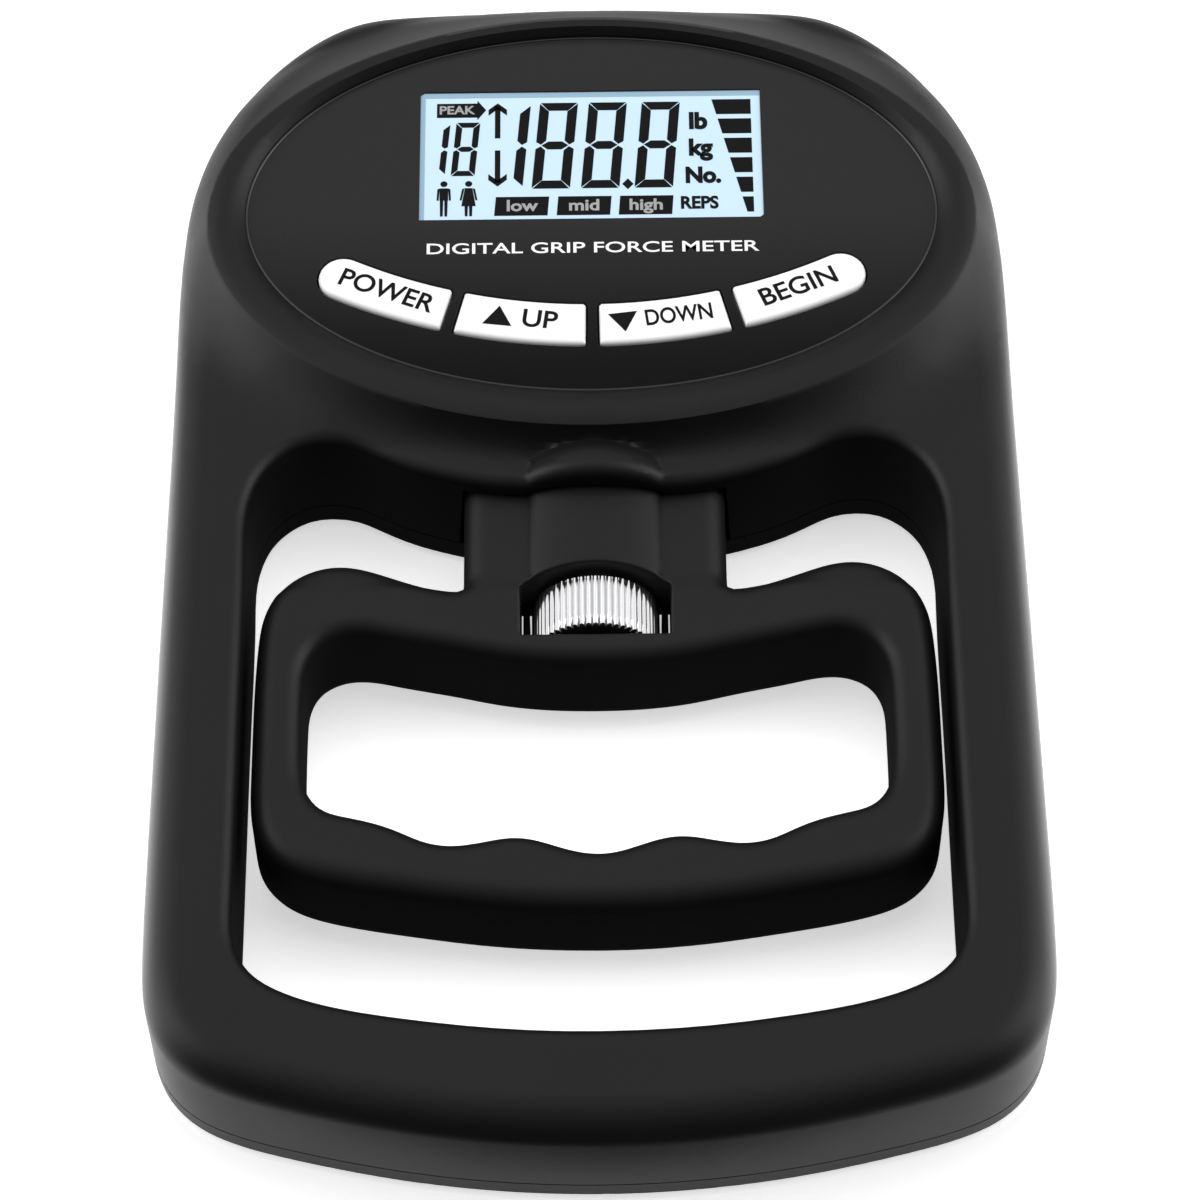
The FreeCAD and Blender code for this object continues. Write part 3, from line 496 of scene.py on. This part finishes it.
# A dimmer glow for the bands of painted shadow along the display's top and left edges.
DISPLAY_PAINTED_SHADE = glowing("display_painted_shade", (0.22, 0.33, 0.43), 0.25)
CHROME = plain_metal("chrome", (0.86, 0.86, 0.87), 0.13, 0.03)
STEEL = plain_metal("steel", (0.55, 0.55, 0.56), 0.34)
NICKEL = plain_metal("nickel", (0.66, 0.65, 0.62), 0.25)
ALUMINIUM = plain_metal("aluminium", (0.75, 0.76, 0.78), 0.36)
FOIL = plain_metal("foil", (0.72, 0.45, 0.18), 0.4)
BOARD = moulded_plastic("board", (0.01, 0.10, 0.04), (0.015, 0.14, 0.05), 0.35, 0.2, 0.5)
CHIP = moulded_plastic("chip", (0.012, 0.012, 0.012), (0.02, 0.02, 0.02), 0.6, 0.4)
FRAME_WHITE = moulded_plastic("frame_white", (0.62, 0.62, 0.60), (0.68, 0.68, 0.66), 0.5, 0.2)
GUIDE = moulded_plastic("guide", (0.55, 0.68, 0.80), (0.60, 0.74, 0.86), 0.3, 0.05)
RUBBER = moulded_plastic("rubber", (0.03, 0.03, 0.032), (0.05, 0.05, 0.052), 0.75, 0.5)
WIRE = moulded_plastic("wire", (0.35, 0.02, 0.02), (0.42, 0.03, 0.03), 0.45, 0.1)
WRAP = moulded_plastic("wrap", (0.02, 0.03, 0.06), (0.03, 0.04, 0.08), 0.3, 0.1)

SLOT_MATERIALS = {
    "casing_black": CASING_PLASTIC,
    "grip_black": GRIP_PLASTIC,
    "panel_black": PANEL_PLASTIC,
    "key_white": KEY_PLASTIC,
    "nut_chrome": CHROME,
    "steel": STEEL,
    "cell_aluminium": ALUMINIUM,
    "display_glass": DISPLAY_FACE,
    "light_guide": GUIDE,
    "frame_white": FRAME_WHITE,
    "board_green": BOARD,
    "chip_black": CHIP,
    "switch_black": CHIP,
    "rubber_grey": RUBBER,
    "wire_red": WIRE,
    "gauge_foil": FOIL,
    "battery_wrap": WRAP,
    "spring_steel": NICKEL,
}


def dress_cad_nodes():
    """Every CAD node gets the material of its slot in the record."""
    for part in frame["record"]["subparts"]:
        node = NODES[part["node"]]
        node.data.materials.clear()
        node.data.materials.append(SLOT_MATERIALS[part["material_slot"]])


# ---------------------------------------------------------------- casing

# The ridge round the panel: where across it the crest lies, and how far it falls beyond.
RIDGE_CREST = 0.55
RIDGE_DROP = 0.7
# The boss over the rod: its height, its length in +Y, and the fillet where it meets the flank.
BOSS_HEIGHT = 3.7
BOSS_LENGTH = 8.5
BOSS_FILLET = 0.5


def pod_reach(angle):
    """How far the pod's flank spreads outside the ridge: little below, broad at the lower sides."""
    degrees = np.degrees(angle)
    marks = [-180, -160, -142, -128, -112, -90, -68, -52, -38, -20, 0, 35, 90, 145, 180]
    reach = [5.5, 9, 11, 9, 5.0, 3.4, 5.0, 9, 11, 9, 5.5, 9, 7, 9, 5.5]
    return np.interp(degrees, marks, reach)


def casing_top(x, y):
    """Height of the casing's front: bars, ridge round the display, and the boss over the rod."""
    out_x = (x - RIDGE_MIDDLE[0]) / RIDGE_HALF[0]
    out_y = (y - RIDGE_MIDDLE[1]) / RIDGE_HALF[1]
    ridge = np.hypot(out_x, out_y)
    slope = np.hypot(out_x / RIDGE_HALF[0], out_y / RIDGE_HALF[1]) / np.maximum(ridge, 1e-6)
    outside = (ridge - 1) / np.maximum(slope, 1e-6)
    panel = np.hypot((x - PANEL_MIDDLE[0]) / PANEL_HALF[0], (y - PANEL_MIDDLE[1]) / PANEL_HALF[1])
    share = np.clip(outside / pod_reach(np.arctan2(out_y, out_x)), 0, 1)
    angle = np.arctan2(out_y, out_x)
    curve = 2.1 - 0.9 * np.clip(np.sin(angle) * 2 + 0.6, 0, 1)
    height = BAR_TOP + (RIDGE_TOP - RIDGE_DROP - BAR_TOP) * (1 - share) ** curve
    ring = np.clip((panel - 1) / np.maximum((panel - 1) + (1 - ridge), 1e-6), 0, 1)
    rise = np.sin(math.pi / 2 * np.clip(ring / RIDGE_CREST, 0, 1))
    fall = np.clip((ring - RIDGE_CREST) / (1 - RIDGE_CREST), 0, 1)
    dish = PANEL_TOP + (RIDGE_TOP - PANEL_TOP) * rise - RIDGE_DROP * fall ** 2
    height = np.where(ridge < 1, dish, height)
    dome = (x / (BUMP_HALF + 0.3)) ** 2 + (np.maximum(y - 7.0, 0) / BOSS_LENGTH) ** 2
    boss = np.where(y > 0, BAR_TOP + BOSS_HEIGHT * np.clip(1 - dome, 0, 1) ** 0.7, BAR_TOP)
    blended = (height + boss + np.sqrt((height - boss) ** 2 + BOSS_FILLET ** 2) - BOSS_FILLET) / 2
    return np.where((ridge < 1) | (np.abs(x) > 14) | (y > 20), height, np.maximum(blended, height))


# The dark line left open between the two casing halves.
SEAM_GAP = 0.25


def slot_foot(x, y):
    """The walls end at the seam, except over the slot that the grip's neck slides in."""
    arch = SLOT_TOP + 2.75 * np.sqrt(np.clip(1 - (x / (BUMP_HALF + 0.5)) ** 2, 0, 1))
    in_slot = (np.abs(x) < SLOT_HALF) & (y > 0) & (y < 10)
    return np.where(in_slot, arch, SEAM + SEAM_GAP)


def build_front_casing():
    loops = loops_round("rear_casing", SEAM - 0.4, (0, -40))
    outline = softened(loops[-1], 1.25, 0.7)
    opening = softened(loops[0], 1.0, 0.5)
    seat = oval(PANEL_MIDDLE, PANEL_HALF + 0.15)
    guides = [oval(RIDGE_MIDDLE, RIDGE_HALF + d, 300) for d in (0, 0.35, 0.8, 1.4, 2.2, 3.2, 4.5, 6.5, 9.0)]
    guides += [PANEL_MIDDLE + (oval((0, 0), (1, 1), 300)) * (PANEL_HALF * (1 - k) + RIDGE_HALF * k)
               + (RIDGE_MIDDLE - PANEL_MIDDLE) * k for k in (0.33, 0.66)]
    guides.append(oval(RIDGE_MIDDLE, RIDGE_HALF - 0.25, 300))
    guides += [np.column_stack([np.full(14, side * reach), np.linspace(6.5, 15, 14)])
               for side in (-1, 1) for reach in (BUMP_HALF, BUMP_HALF - 0.5, BUMP_HALF - 1.4)]
    guides += [np.column_stack([np.linspace(-9, 9, 25), np.full(25, level)])
               for level in (8.3, 9.1, 9.9, 10.7, 11.5, 12.3, 13.1, 13.9)]

    def foot(x, y):
        panel = np.hypot((x - PANEL_MIDDLE[0]) / PANEL_HALF[0], (y - PANEL_MIDDLE[1]) / PANEL_HALF[1])
        return np.where(panel < 1.05, PANEL_TOP - 1.5, slot_foot(x, y))

    casing = sculpt("casing_front", [outline, opening, seat], [CASING_ROUND, OPENING_ROUND, 0.15],
                    casing_top, foot, CASING_PLASTIC, 1.8, guides)
    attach(casing, "casing")
    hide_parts("front_casing")


# ---------------------------------------------------------------- grip

def grip_top(x, y):
    """The grip's front: flat bars, slightly lower wings on the neck, and the bump over the rod."""
    across = np.clip(1 - (x / BUMP_HALF) ** 2, 0, 1)
    bump = 2.8 * np.sqrt(across) ** 1.15
    on_neck = np.clip((y + 9.6) / 1.2, 0, 1)
    level = GRIP_TOP - (GRIP_TOP - NECK_TOP) * on_neck
    bump = np.where(y > -14, bump * (1 - 0.012 * np.clip(9 - y, 0, 20)), 0)
    return level + bump


# Levels of the sections that the grip's outlines and its window are read from.
GRIP_SECTION = 16.2
WINDOW_SECTION = 19.0
# The two ribs beside the nut, which close the window but for a slit at each side.
RIB_TOP = 10.5
RIB_FOOT = 3.4
RIB_NEAR = 9.75
RIB_FAR = 10.7


def build_grip():
    middle = (0, -35)
    loops = loops_round("grip_front", GRIP_SECTION, middle)
    outline = softened(loops[-1], 0.9, 0.9)
    finger_hole = softened(loops[0], 0.8, 0.5)
    window = softened(loops_round("grip_front", WINDOW_SECTION, (0, -12))[0], 0.6, 0.15)
    guides = [np.column_stack([np.full(40, side * reach), np.linspace(-8.5, 19, 40)])
              for side in (-1, 1) for reach in (BUMP_HALF, BUMP_HALF - 0.5, BUMP_HALF - 1.4)]
    front = sculpt("grip_front_face", [outline, finger_hole, window], [GRIP_ROUND, FINGER_ROUND, 0.4],
                   grip_top, level_at(GRIP_SPLIT), GRIP_PLASTIC, 1.5, guides)
    for name, near, far in (("nut_rib_left", -RIB_FAR, -RIB_NEAR), ("nut_rib_right", RIB_NEAR, RIB_FAR)):
        rib = sculpt(name, [block(near, NUT_LOW[1] - 1.0, far, NUT_LOW[1] + 9.6)], [0.25],
                     level_at(RIB_TOP), level_at(RIB_FOOT), GRIP_PLASTIC, 1.0)
        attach(rib, "grip")
    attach(front, "grip")
    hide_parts("grip_front")


# ---------------------------------------------------------------- thumb nut

def build_thumb_nut():
    """The chromed nut, one revolved piece: fluted rim, chamfered shoulder, sleeve and bore."""
    teeth = 56
    per_tooth = 8
    flute_depth = 0.75
    count = teeth * per_tooth
    radius = (NUT_HIGH[2] - NUT_LOW[2]) / 2
    bore = 3.06
    sleeve = 5.0
    low = NUT_LOW[1]
    high = low + 9.1
    end = NUT_HIGH[1]
    # Each point is a place along the axis, a radius, and how deep the flutes are cut there.
    profile = [
        (low, bore, 0), (low, radius - 2.4, 0), (low, radius - 1.1, 0), (low, radius - 0.4, 0.8),
        (low + 0.15, radius, 1), (low + 2, radius, 1), (low + 4.5, radius, 1), (low + 7, radius, 1),
        (high - 1.0, radius, 1), (high - 0.75, radius - 0.45, 0.2), (high - 0.65, radius - 0.55, 0),
        (high - 0.1, radius - 1.1, 0), (high, radius - 1.3, 0), (high, sleeve, 0),
        (end - 0.3, sleeve, 0), (end, sleeve - 0.3, 0), (end, bore, 0),
    ]
    mesh = bmesh.new()
    rings = []
    for y, reach, knurl in profile:
        ring = []
        for k in range(count):
            turn = 2 * math.pi * k / count
            depth = flute_depth * knurl * (1 - abs(math.cos(teeth / 2 * turn)) ** 0.8)
            r = (reach - depth) * MM
            ring.append(mesh.verts.new((r * math.sin(turn), y * MM, AXIS_Z * MM + r * math.cos(turn))))
        rings.append(ring)
    for lower, upper in zip(rings, rings[1:] + rings[:1]):
        for k in range(count):
            following = (k + 1) % count
            mesh.faces.new((lower[k], lower[following], upper[following], upper[k]))
    bmesh.ops.recalc_face_normals(mesh, faces=mesh.faces)
    data = bpy.data.meshes.new("nut_knurl")
    mesh.to_mesh(data)
    mesh.free()
    smooth(data, 50)
    nut = make_object("nut_knurl", data, CHROME)
    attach(nut, "thumb_nut")
    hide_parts("thumb_knob")


# ---------------------------------------------------------------- keys and panel

KEY_NODES = ("key_on", "key_up", "key_down", "key_start")
# The level of the centre of the arc that the keys follow.
KEY_ARC_CENTRE = 116.0


def key_loop(node, grow=0.0):
    """A key's outline, from the CAD cap just above its flange."""
    loop = max(section_loops(node, PANEL_TOP - 0.6), key=area)
    return moved(softened(loop, 0.5, 0.18), -grow)


def build_panel():
    face = oval(PANEL_MIDDLE, PANEL_HALF, 300)
    window = block(*(WINDOW_MIDDLE - WINDOW_HALF), *(WINDOW_MIDDLE + WINDOW_HALF))
    holes = [key_loop(node, 0.3) for node in KEY_NODES]
    panel = sculpt("panel_face", [face, window] + holes, [0.25, 0.12] + [0.12] * 4,
                   level_at(PANEL_TOP), level_at(PANEL_TOP - 1.5), PANEL_PLASTIC, 3.0)
    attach(panel, "casing")
    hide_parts("display_panel")
    rims = [oval(PANEL_MIDDLE, PANEL_HALF + 0.25, 300), oval(PANEL_MIDDLE, PANEL_HALF - 0.25, 300)]
    trim = sculpt("panel_trim", rims, [0.2, 0.2], level_at(PANEL_TOP + 0.16), level_at(PANEL_TOP - 0.6),
                  GLOSSY_TRIM, 3.0)
    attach(trim, "casing")


def build_keys():
    for node in KEY_NODES:
        low, high = box_mm(node)
        loop = key_loop(node)

        def pillow(x, y, loop=loop, high=high):
            depth = distance_to(np.column_stack([x, y]), loop)
            return high[2] - 0.28 * np.exp(-depth / 0.9)

        cap = sculpt(f"{node}_cap", [loop], [0.55], pillow, level_at(low[2] + 1.0), KEY_PLASTIC, 0.8)
        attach(cap, f"{node}_cap")
        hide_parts(node)


def key_legend(node, text, width=0.92, height=3.1, shift=0.0):
    """Lettering turned to follow the key along the band's arc."""
    high = box_mm(node)[1]
    middle = key_loop(node).mean(axis=0)
    turn = math.atan2(middle[0], KEY_ARC_CENTRE - middle[1])
    place = (middle[0] + shift * math.cos(turn), middle[1] + shift * math.sin(turn), high[2] + 0.03)
    legend = lettering(f"{node}_legend", text, place, height, BLACK_INK, turn, width, "CENTER", 0.07)
    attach(legend, f"{node}_cap")


def key_arrow(node, pointing, shift):
    """A plain triangle on a key, pointing up (1) or down (-1)."""
    high = box_mm(node)[1]
    middle = key_loop(node).mean(axis=0)
    turn = math.atan2(middle[0], KEY_ARC_CENTRE - middle[1])
    shape = []
    for x, y in ((-2.2, -1.6), (2.2, -1.6), (0, 1.9)):
        x = x + shift
        y = y * pointing
        shape.append((middle[0] + x * math.cos(turn) - y * math.sin(turn),
                      middle[1] + x * math.sin(turn) + y * math.cos(turn)))
    arrow = flat_shapes(f"{node}_arrow", [shape], high[2] + 0.03, BLACK_INK)
    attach(arrow, f"{node}_cap")


def build_legends():
    key_legend("key_on", "POWER", 0.98, 3.2)
    key_arrow("key_up", 1, -3.6)
    key_legend("key_up", "UP", 1.0, 3.2, 2.6)
    key_arrow("key_down", -1, -5.9)
    key_legend("key_down", "DOWN", 0.76, 2.9, 2.4)
    key_legend("key_start", "BEGIN", 1.0, 3.2)
    level = PANEL_TOP + 0.02
    title = lettering("legend_title", "DIGITAL GRIP FORCE METER", (0.0, 46.4, level), 2.0,
                      WHITE_INK, 0.0, 1.42, "CENTER", 0.03)
    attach(title, "casing")


# ---------------------------------------------------------------- display

def on_glass(across, down):
    """A place on the display, from shares of the window's width and height."""
    return (WINDOW_MIDDLE[0] + (2 * across - 1) * WINDOW_HALF[0],
            WINDOW_MIDDLE[1] + (1 - 2 * down) * WINDOW_HALF[1])


def seven_segments(left, top, width, height, stroke, lit="abcdefg"):
    """The seven bars of a slanted digit, in shares of the window."""
    ratio = WINDOW_HALF[0] / WINDOW_HALF[1]
    thick = stroke
    tall = stroke * ratio
    gap = 0.0022
    slant = 0.026 * height / 0.68
    right = left + width
    bottom = top + height
    middle = top + height / 2
    inner = thick * 0.95
    near = inner * 0.6
    far = inner * 1.3
    half = tall / 2
    shapes = {
        "a": [(left + gap, top), (right - gap, top), (right - inner, top + tall),
              (left + inner, top + tall)],
        "d": [(left + gap, bottom), (left + inner, bottom - tall), (right - inner, bottom - tall),
              (right - gap, bottom)],
        "g": [(left + near, middle), (left + far, middle - half), (right - far, middle - half),
              (right - near, middle), (right - far, middle + half), (left + far, middle + half)],
    }
    for end, way, (first, second) in ((top, 1, "fb"), (bottom, -1, "ec")):
        for name, side, edge in ((first, 1, left), (second, -1, right)):
            shapes[name] = [(edge, end + way * gap * 3),
                            (edge + side * thick, end + way * (tall + gap * 3)),
                            (edge + side * thick, middle - way * tall * 0.62),
                            (edge + side * thick * 0.5, middle - way * gap * 3),
                            (edge, middle - way * tall * 0.45)]
    result = []
    for name in lit:
        result.append([on_glass(x + slant * (bottom - y) / height, y) for x, y in shapes[name]])
    return result


def arrow_shapes(middle, top, bottom, upwards):
    """A thin arrow with an open head."""
    ratio = WINDOW_HALF[0] / WINDOW_HALF[1]
    tip, tail, way = (top, bottom, 1) if upwards else (bottom, top, -1)
    shapes = [[(middle - 0.008, tail), (middle + 0.008, tail), (middle + 0.008, tip + way * 0.03),
               (middle - 0.008, tip + way * 0.03)]]
    for side in (-1, 1):
        fall = way * 0.027 * ratio * 0.9
        barb = middle + side * 0.027
        shapes.append([(middle, tip), (middle, tip + way * 0.046),
                       (barb, tip + way * 0.046 + fall), (barb, tip + fall)])
    return [[on_glass(x, y) for x, y in shape] for shape in shapes]


def person_shapes(middle, top, bottom, skirt):
    """A plain figure: round head, body, arms and legs."""
    height = bottom - top
    ratio = WINDOW_HALF[0] / WINDOW_HALF[1]
    head = []
    for k in range(16):
        turn = 2 * math.pi * k / 16
        head.append((middle + 0.0105 * math.cos(turn), top + 0.022 + 0.0105 * ratio * math.sin(turn)))
    shoulder = top + 0.055
    waist = top + height * 0.55
    shapes = [head]
    if skirt:
        hem = waist + 0.045
        shapes.append([(middle - 0.011, shoulder), (middle + 0.011, shoulder),
                       (middle + 0.021, hem), (middle - 0.021, hem)])
        reach = 0.026
    else:
        shapes.append([(middle - 0.0125, shoulder), (middle + 0.0125, shoulder), (middle + 0.0125, waist),
                       (middle - 0.0125, waist)])
        reach = 0.021
    for side in (-1, 1):
        shapes.append([(middle + side * 0.012, shoulder), (middle + side * 0.019, shoulder + 0.008),
                       (middle + side * reach, waist), (middle + side * (reach - 0.006), waist)])
        legs = waist + (0.045 if skirt else 0)
        shapes.append([(middle + side * 0.0015, legs), (middle + side * 0.0115, legs),
                       (middle + side * 0.0105, bottom), (middle + side * 0.0025, bottom)])
    return [[on_glass(x, y) for x, y in shape] for shape in shapes]


def build_display():
    level = PANEL_TOP - 0.25
    window = block(*(WINDOW_MIDDLE - WINDOW_HALF + 0.02), *(WINDOW_MIDDLE + WINDOW_HALF - 0.02))
    sheet = sculpt("display_sheet", [window], [0.08], level_at(level - 0.04), level_at(GLASS_HIGH[2]),
                   DISPLAY_FACE, 4.0)
    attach(sheet, "casing")
    shapes = []
    for left in (0.326, 0.470, 0.626):
        shapes += seven_segments(left, 0.085, 0.112, 0.675, 0.0290)
    shapes += seven_segments(0.188, 0.100, 0.112, 0.645, 0.0290, "bc")
    shapes += seven_segments(0.090, 0.235, 0.070, 0.420, 0.0185)
    shapes += seven_segments(0.003, 0.245, 0.070, 0.400, 0.0185, "bc")
    dot = [(0.5905, 0.73), (0.607, 0.687), (0.6235, 0.73), (0.607, 0.772)]
    shapes.append([on_glass(x, y) for x, y in dot])
    shapes += arrow_shapes(0.227, 0.083, 0.362, True)
    shapes += arrow_shapes(0.227, 0.457, 0.740, False)
    tag = [(0.048, 0.083), (0.167, 0.083), (0.167, 0.060), (0.193, 0.137), (0.167, 0.215),
           (0.167, 0.195), (0.048, 0.195)]
    shapes.append([on_glass(x, y) for x, y in tag])
    for k in range(6):
        top = 0.070 + 0.1535 * k
        left = 0.857 + 0.0165 * k
        bar = [(left, top), (0.972, top), (0.972, top + 0.118), (left + 0.013, top + 0.118)]
        shapes.append([on_glass(x, y) for x, y in bar])
    for left in (0.2175, 0.399, 0.579):
        plate = [(left + 0.005, 0.822), (left + 0.160, 0.822), (left + 0.155, 0.968), (left, 0.968)]
        shapes.append([on_glass(x, y) for x, y in plate])
    shapes += person_shapes(0.071, 0.695, 0.968, False)
    shapes += person_shapes(0.143, 0.695, 0.968, True)
    marks = flat_shapes("display_marks", shapes, level, BLACK_INK)
    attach(marks, "casing")
    words = [
        ("display_unit_a", "lb", 0.788, 0.245, 3.1, BLACK_INK, "LEFT", 0.92, 0.2),
        ("display_unit_b", "kg", 0.786, 0.455, 3.1, BLACK_INK, "LEFT", 0.92, 0.2),
        ("display_unit_c", "No.", 0.774, 0.672, 2.9, BLACK_INK, "LEFT", 0.88, 0.2),
        ("display_unit_d", "REPS", 0.758, 0.885, 2.3, BLACK_INK, "LEFT", 0.88, 0.12),
        ("display_word_peak", "PEAK", 0.106, 0.139, 1.6, GREY_INK, "CENTER", 1.05, 0.06),
        ("display_word_low", "low", 0.2975, 0.895, 2.1, GREY_INK, "CENTER", 1.1, 0.08),
        ("display_word_mid", "mid", 0.479, 0.895, 2.1, GREY_INK, "CENTER", 1.1, 0.08),
        ("display_word_high", "high", 0.659, 0.895, 2.1, GREY_INK, "CENTER", 1.1, 0.08),
    ]
    for name, text, across, down, height, ink, align, width, weight in words:
        x, y = on_glass(across, down)
        word = lettering(name, text, (x, y, level + 0.02), height, ink, 0.0, width, align, weight)
        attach(word, "casing")
    # Painted shadow: darker bands along the top and left edges of the display, where the recessed window
    # shades the glass.
    left, low = WINDOW_MIDDLE - WINDOW_HALF
    right, high = WINDOW_MIDDLE + WINDOW_HALF
    edges = [[(left, high - 1.0), (right, high - 1.0), (right, high), (left, high)],
             [(left, low), (left + 0.75, low), (left + 0.75, high - 1.0), (left, high - 1.0)]]
    border = flat_shapes("display_painted_shadow", edges, level - 0.015, DISPLAY_PAINTED_SHADE)
    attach(border, "casing")


# ---------------------------------------------------------------- studio

# Strength of the studio's surroundings by direction, and of the sheet round the casing.
SIDE_LIGHT = 3.2
TOP_LIGHT = 0.90
BACK_LIGHT = 0.25
REST_LIGHT = 0.04
SIDE_GLOW = 2.6
FRONT_GLOW = 0.35
# The floor lies just under the back face, so that the two are not in one plane.
FLOOR_LEVEL = -0.4
REFLECTOR_LEVEL = -0.3


def add_math(tree, operation, first, second):
    """A sum or product of two sockets, or of a socket and a number."""
    node = tree.nodes.new("ShaderNodeMath")
    node.operation = operation
    tree.links.new(first, node.inputs[0])
    if isinstance(second, float):
        node.inputs[1].default_value = second
    else:
        tree.links.new(second, node.inputs[1])
    return node.outputs["Value"]


def add_share(tree, source, low, high, top=1.0):
    """A smooth rise from 0 to top as the source goes from low to high."""
    share = tree.nodes.new("ShaderNodeMapRange")
    share.interpolation_type = "SMOOTHSTEP"
    share.inputs["From Min"].default_value = low
    share.inputs["From Max"].default_value = high
    share.inputs["To Max"].default_value = top
    tree.links.new(source, share.inputs["Value"])
    return share.outputs["Result"]


def studio_world():
    """Surroundings of a light tent: bright sides, a softer top, and dark behind the camera."""
    world = bpy.data.worlds.new("studio")
    world.use_nodes = True
    tree = world.node_tree
    place = tree.nodes.new("ShaderNodeTexCoord")
    axes = tree.nodes.new("ShaderNodeSeparateXYZ")
    tree.links.new(place.outputs["Generated"], axes.inputs["Vector"])
    sideways = tree.nodes.new("ShaderNodeMath")
    sideways.operation = "ABSOLUTE"
    tree.links.new(axes.outputs["X"], sideways.inputs[0])
    sides = add_share(tree, sideways.outputs["Value"], 0.30, 0.85, SIDE_LIGHT)
    sides = add_math(tree, "MULTIPLY", sides, add_share(tree, axes.outputs["Y"], -0.6, 0.2))
    sides = add_math(tree, "MULTIPLY", sides, add_share(tree, axes.outputs["Z"], -0.3, 0.0))
    sides = add_math(tree, "MULTIPLY", sides, add_share(tree, axes.outputs["Y"], 0.75, 0.20))
    behind = add_share(tree, axes.outputs["Y"], 0.55, 0.95, BACK_LIGHT)
    behind = add_math(tree, "MULTIPLY", behind, add_share(tree, axes.outputs["Z"], -0.3, 0.0))
    above = add_share(tree, axes.outputs["Z"], 0.15, 0.90, TOP_LIGHT)
    toward_display = add_math(tree, "ADD", add_share(tree, axes.outputs["Y"], -0.25, 0.45, 0.65), 0.35)
    above = add_math(tree, "MULTIPLY", above, toward_display)
    around = add_math(tree, "ADD", sides, behind)
    total = add_math(tree, "ADD", add_math(tree, "ADD", around, above), REST_LIGHT)
    background = tree.nodes["Background"]
    tree.links.new(total, background.inputs["Strength"])
    background.inputs["Color"].default_value = (1, 1, 1, 1)
    return world


def build_reflector(outline):
    """A bright sheet just over the floor, seen only in reflections: the white table round the casing."""
    low = outline.min(axis=0)
    high = outline.max(axis=0)
    border = block(low[0] - 250, low[1] - 7, high[0] + 250, high[1] + 250, 20.0)
    rim = moved(outline, -0.3)
    points = [Vector((float(x), float(y))) for x, y in np.vstack([border, rim])]
    edges = ring_edges(0, len(border)) + ring_edges(len(border), len(rim))
    verts, _, faces, *_ = delaunay_2d_cdt(points, edges, [], 0, 1e-4)
    places = np.array([(v.x, v.y) for v in verts])
    triangles = np.array([face for face in faces if len(face) == 3])
    outside = ~inside(places[triangles].mean(axis=1), rim)
    mesh = bpy.data.meshes.new("reflector")
    corners = [(x * MM, y * MM, REFLECTOR_LEVEL * MM) for x, y in places]
    mesh.from_pydata(corners, [], triangles[outside].tolist())
    material, tree, shader = new_material("reflector", (0.9, 0.9, 0.9), 0.9)
    place = tree.nodes.new("ShaderNodeTexCoord")
    axes = tree.nodes.new("ShaderNodeSeparateXYZ")
    tree.links.new(place.outputs["Object"], axes.inputs["Vector"])
    glow = add_math(tree, "ADD", add_share(tree, axes.outputs["Y"], -0.095, -0.05, SIDE_GLOW), FRONT_GLOW)
    glow = add_math(tree, "MULTIPLY", glow, add_share(tree, axes.outputs["Y"], 0.105, 0.015))
    shader.inputs["Emission Color"].default_value = (1, 1, 1, 1)
    tree.links.new(glow, shader.inputs["Emission Strength"])
    reflector = make_object("reflector", mesh, material)
    reflector.visible_camera = False
    reflector.visible_diffuse = False


def build_studio():
    floor_mesh = bpy.data.meshes.new("floor")
    reach = 3.0
    level = FLOOR_LEVEL * MM
    corners = [(-reach, -reach, level), (reach, -reach, level), (reach, reach, level), (-reach, reach, level)]
    floor_mesh.from_pydata(corners, [], [(0, 1, 2, 3)])
    floor = make_object("floor", floor_mesh, FLOOR_WHITE)
    floor.visible_glossy = False
    build_reflector(softened(loops_round("rear_casing", SEAM - 0.4, (0, -40))[-1], 1.5, 0.7))
    light = bpy.data.lights.new("overhead", "AREA")
    light.shape = "RECTANGLE"
    light.size = 1.4
    light.size_y = 0.9
    light.energy = 6.0
    lamp = bpy.data.objects.new("overhead", light)
    lamp.location = (0.0, 0.35, 1.2)
    lamp.rotation_euler = (-Vector(lamp.location)).to_track_quat("-Z", "Y").to_euler()
    lamp.visible_glossy = False
    bpy.context.scene.collection.objects.link(lamp)
    bpy.context.scene.world = studio_world()


def build_camera():
    """The camera looks down at the front face from the palm end."""
    elevation = math.radians(58.5)
    distance = 0.6332
    target = Vector((0.00065, -0.00682, 0.0115))
    backwards = Vector((0, -math.cos(elevation), math.sin(elevation)))
    data = bpy.data.cameras.new("camera")
    roll = math.radians(-0.627)
    data.lens = 128.7
    data.sensor_width = 36
    data.clip_start = 0.01
    camera = bpy.data.objects.new("camera", data)
    camera.location = target + backwards * distance
    turn = backwards.to_track_quat("Z", "Y").to_matrix().to_4x4()
    camera.rotation_euler = (turn @ Matrix.Rotation(roll, 4, "Z")).to_euler()
    bpy.context.scene.collection.objects.link(camera)
    bpy.context.scene.camera = camera


build_camera()
bpy.context.scene.view_settings.view_transform = "Standard"
build_studio()
dress_cad_nodes()
build_front_casing()
build_grip()
build_thumb_nut()
build_panel()
build_keys()
build_legends()
build_display()
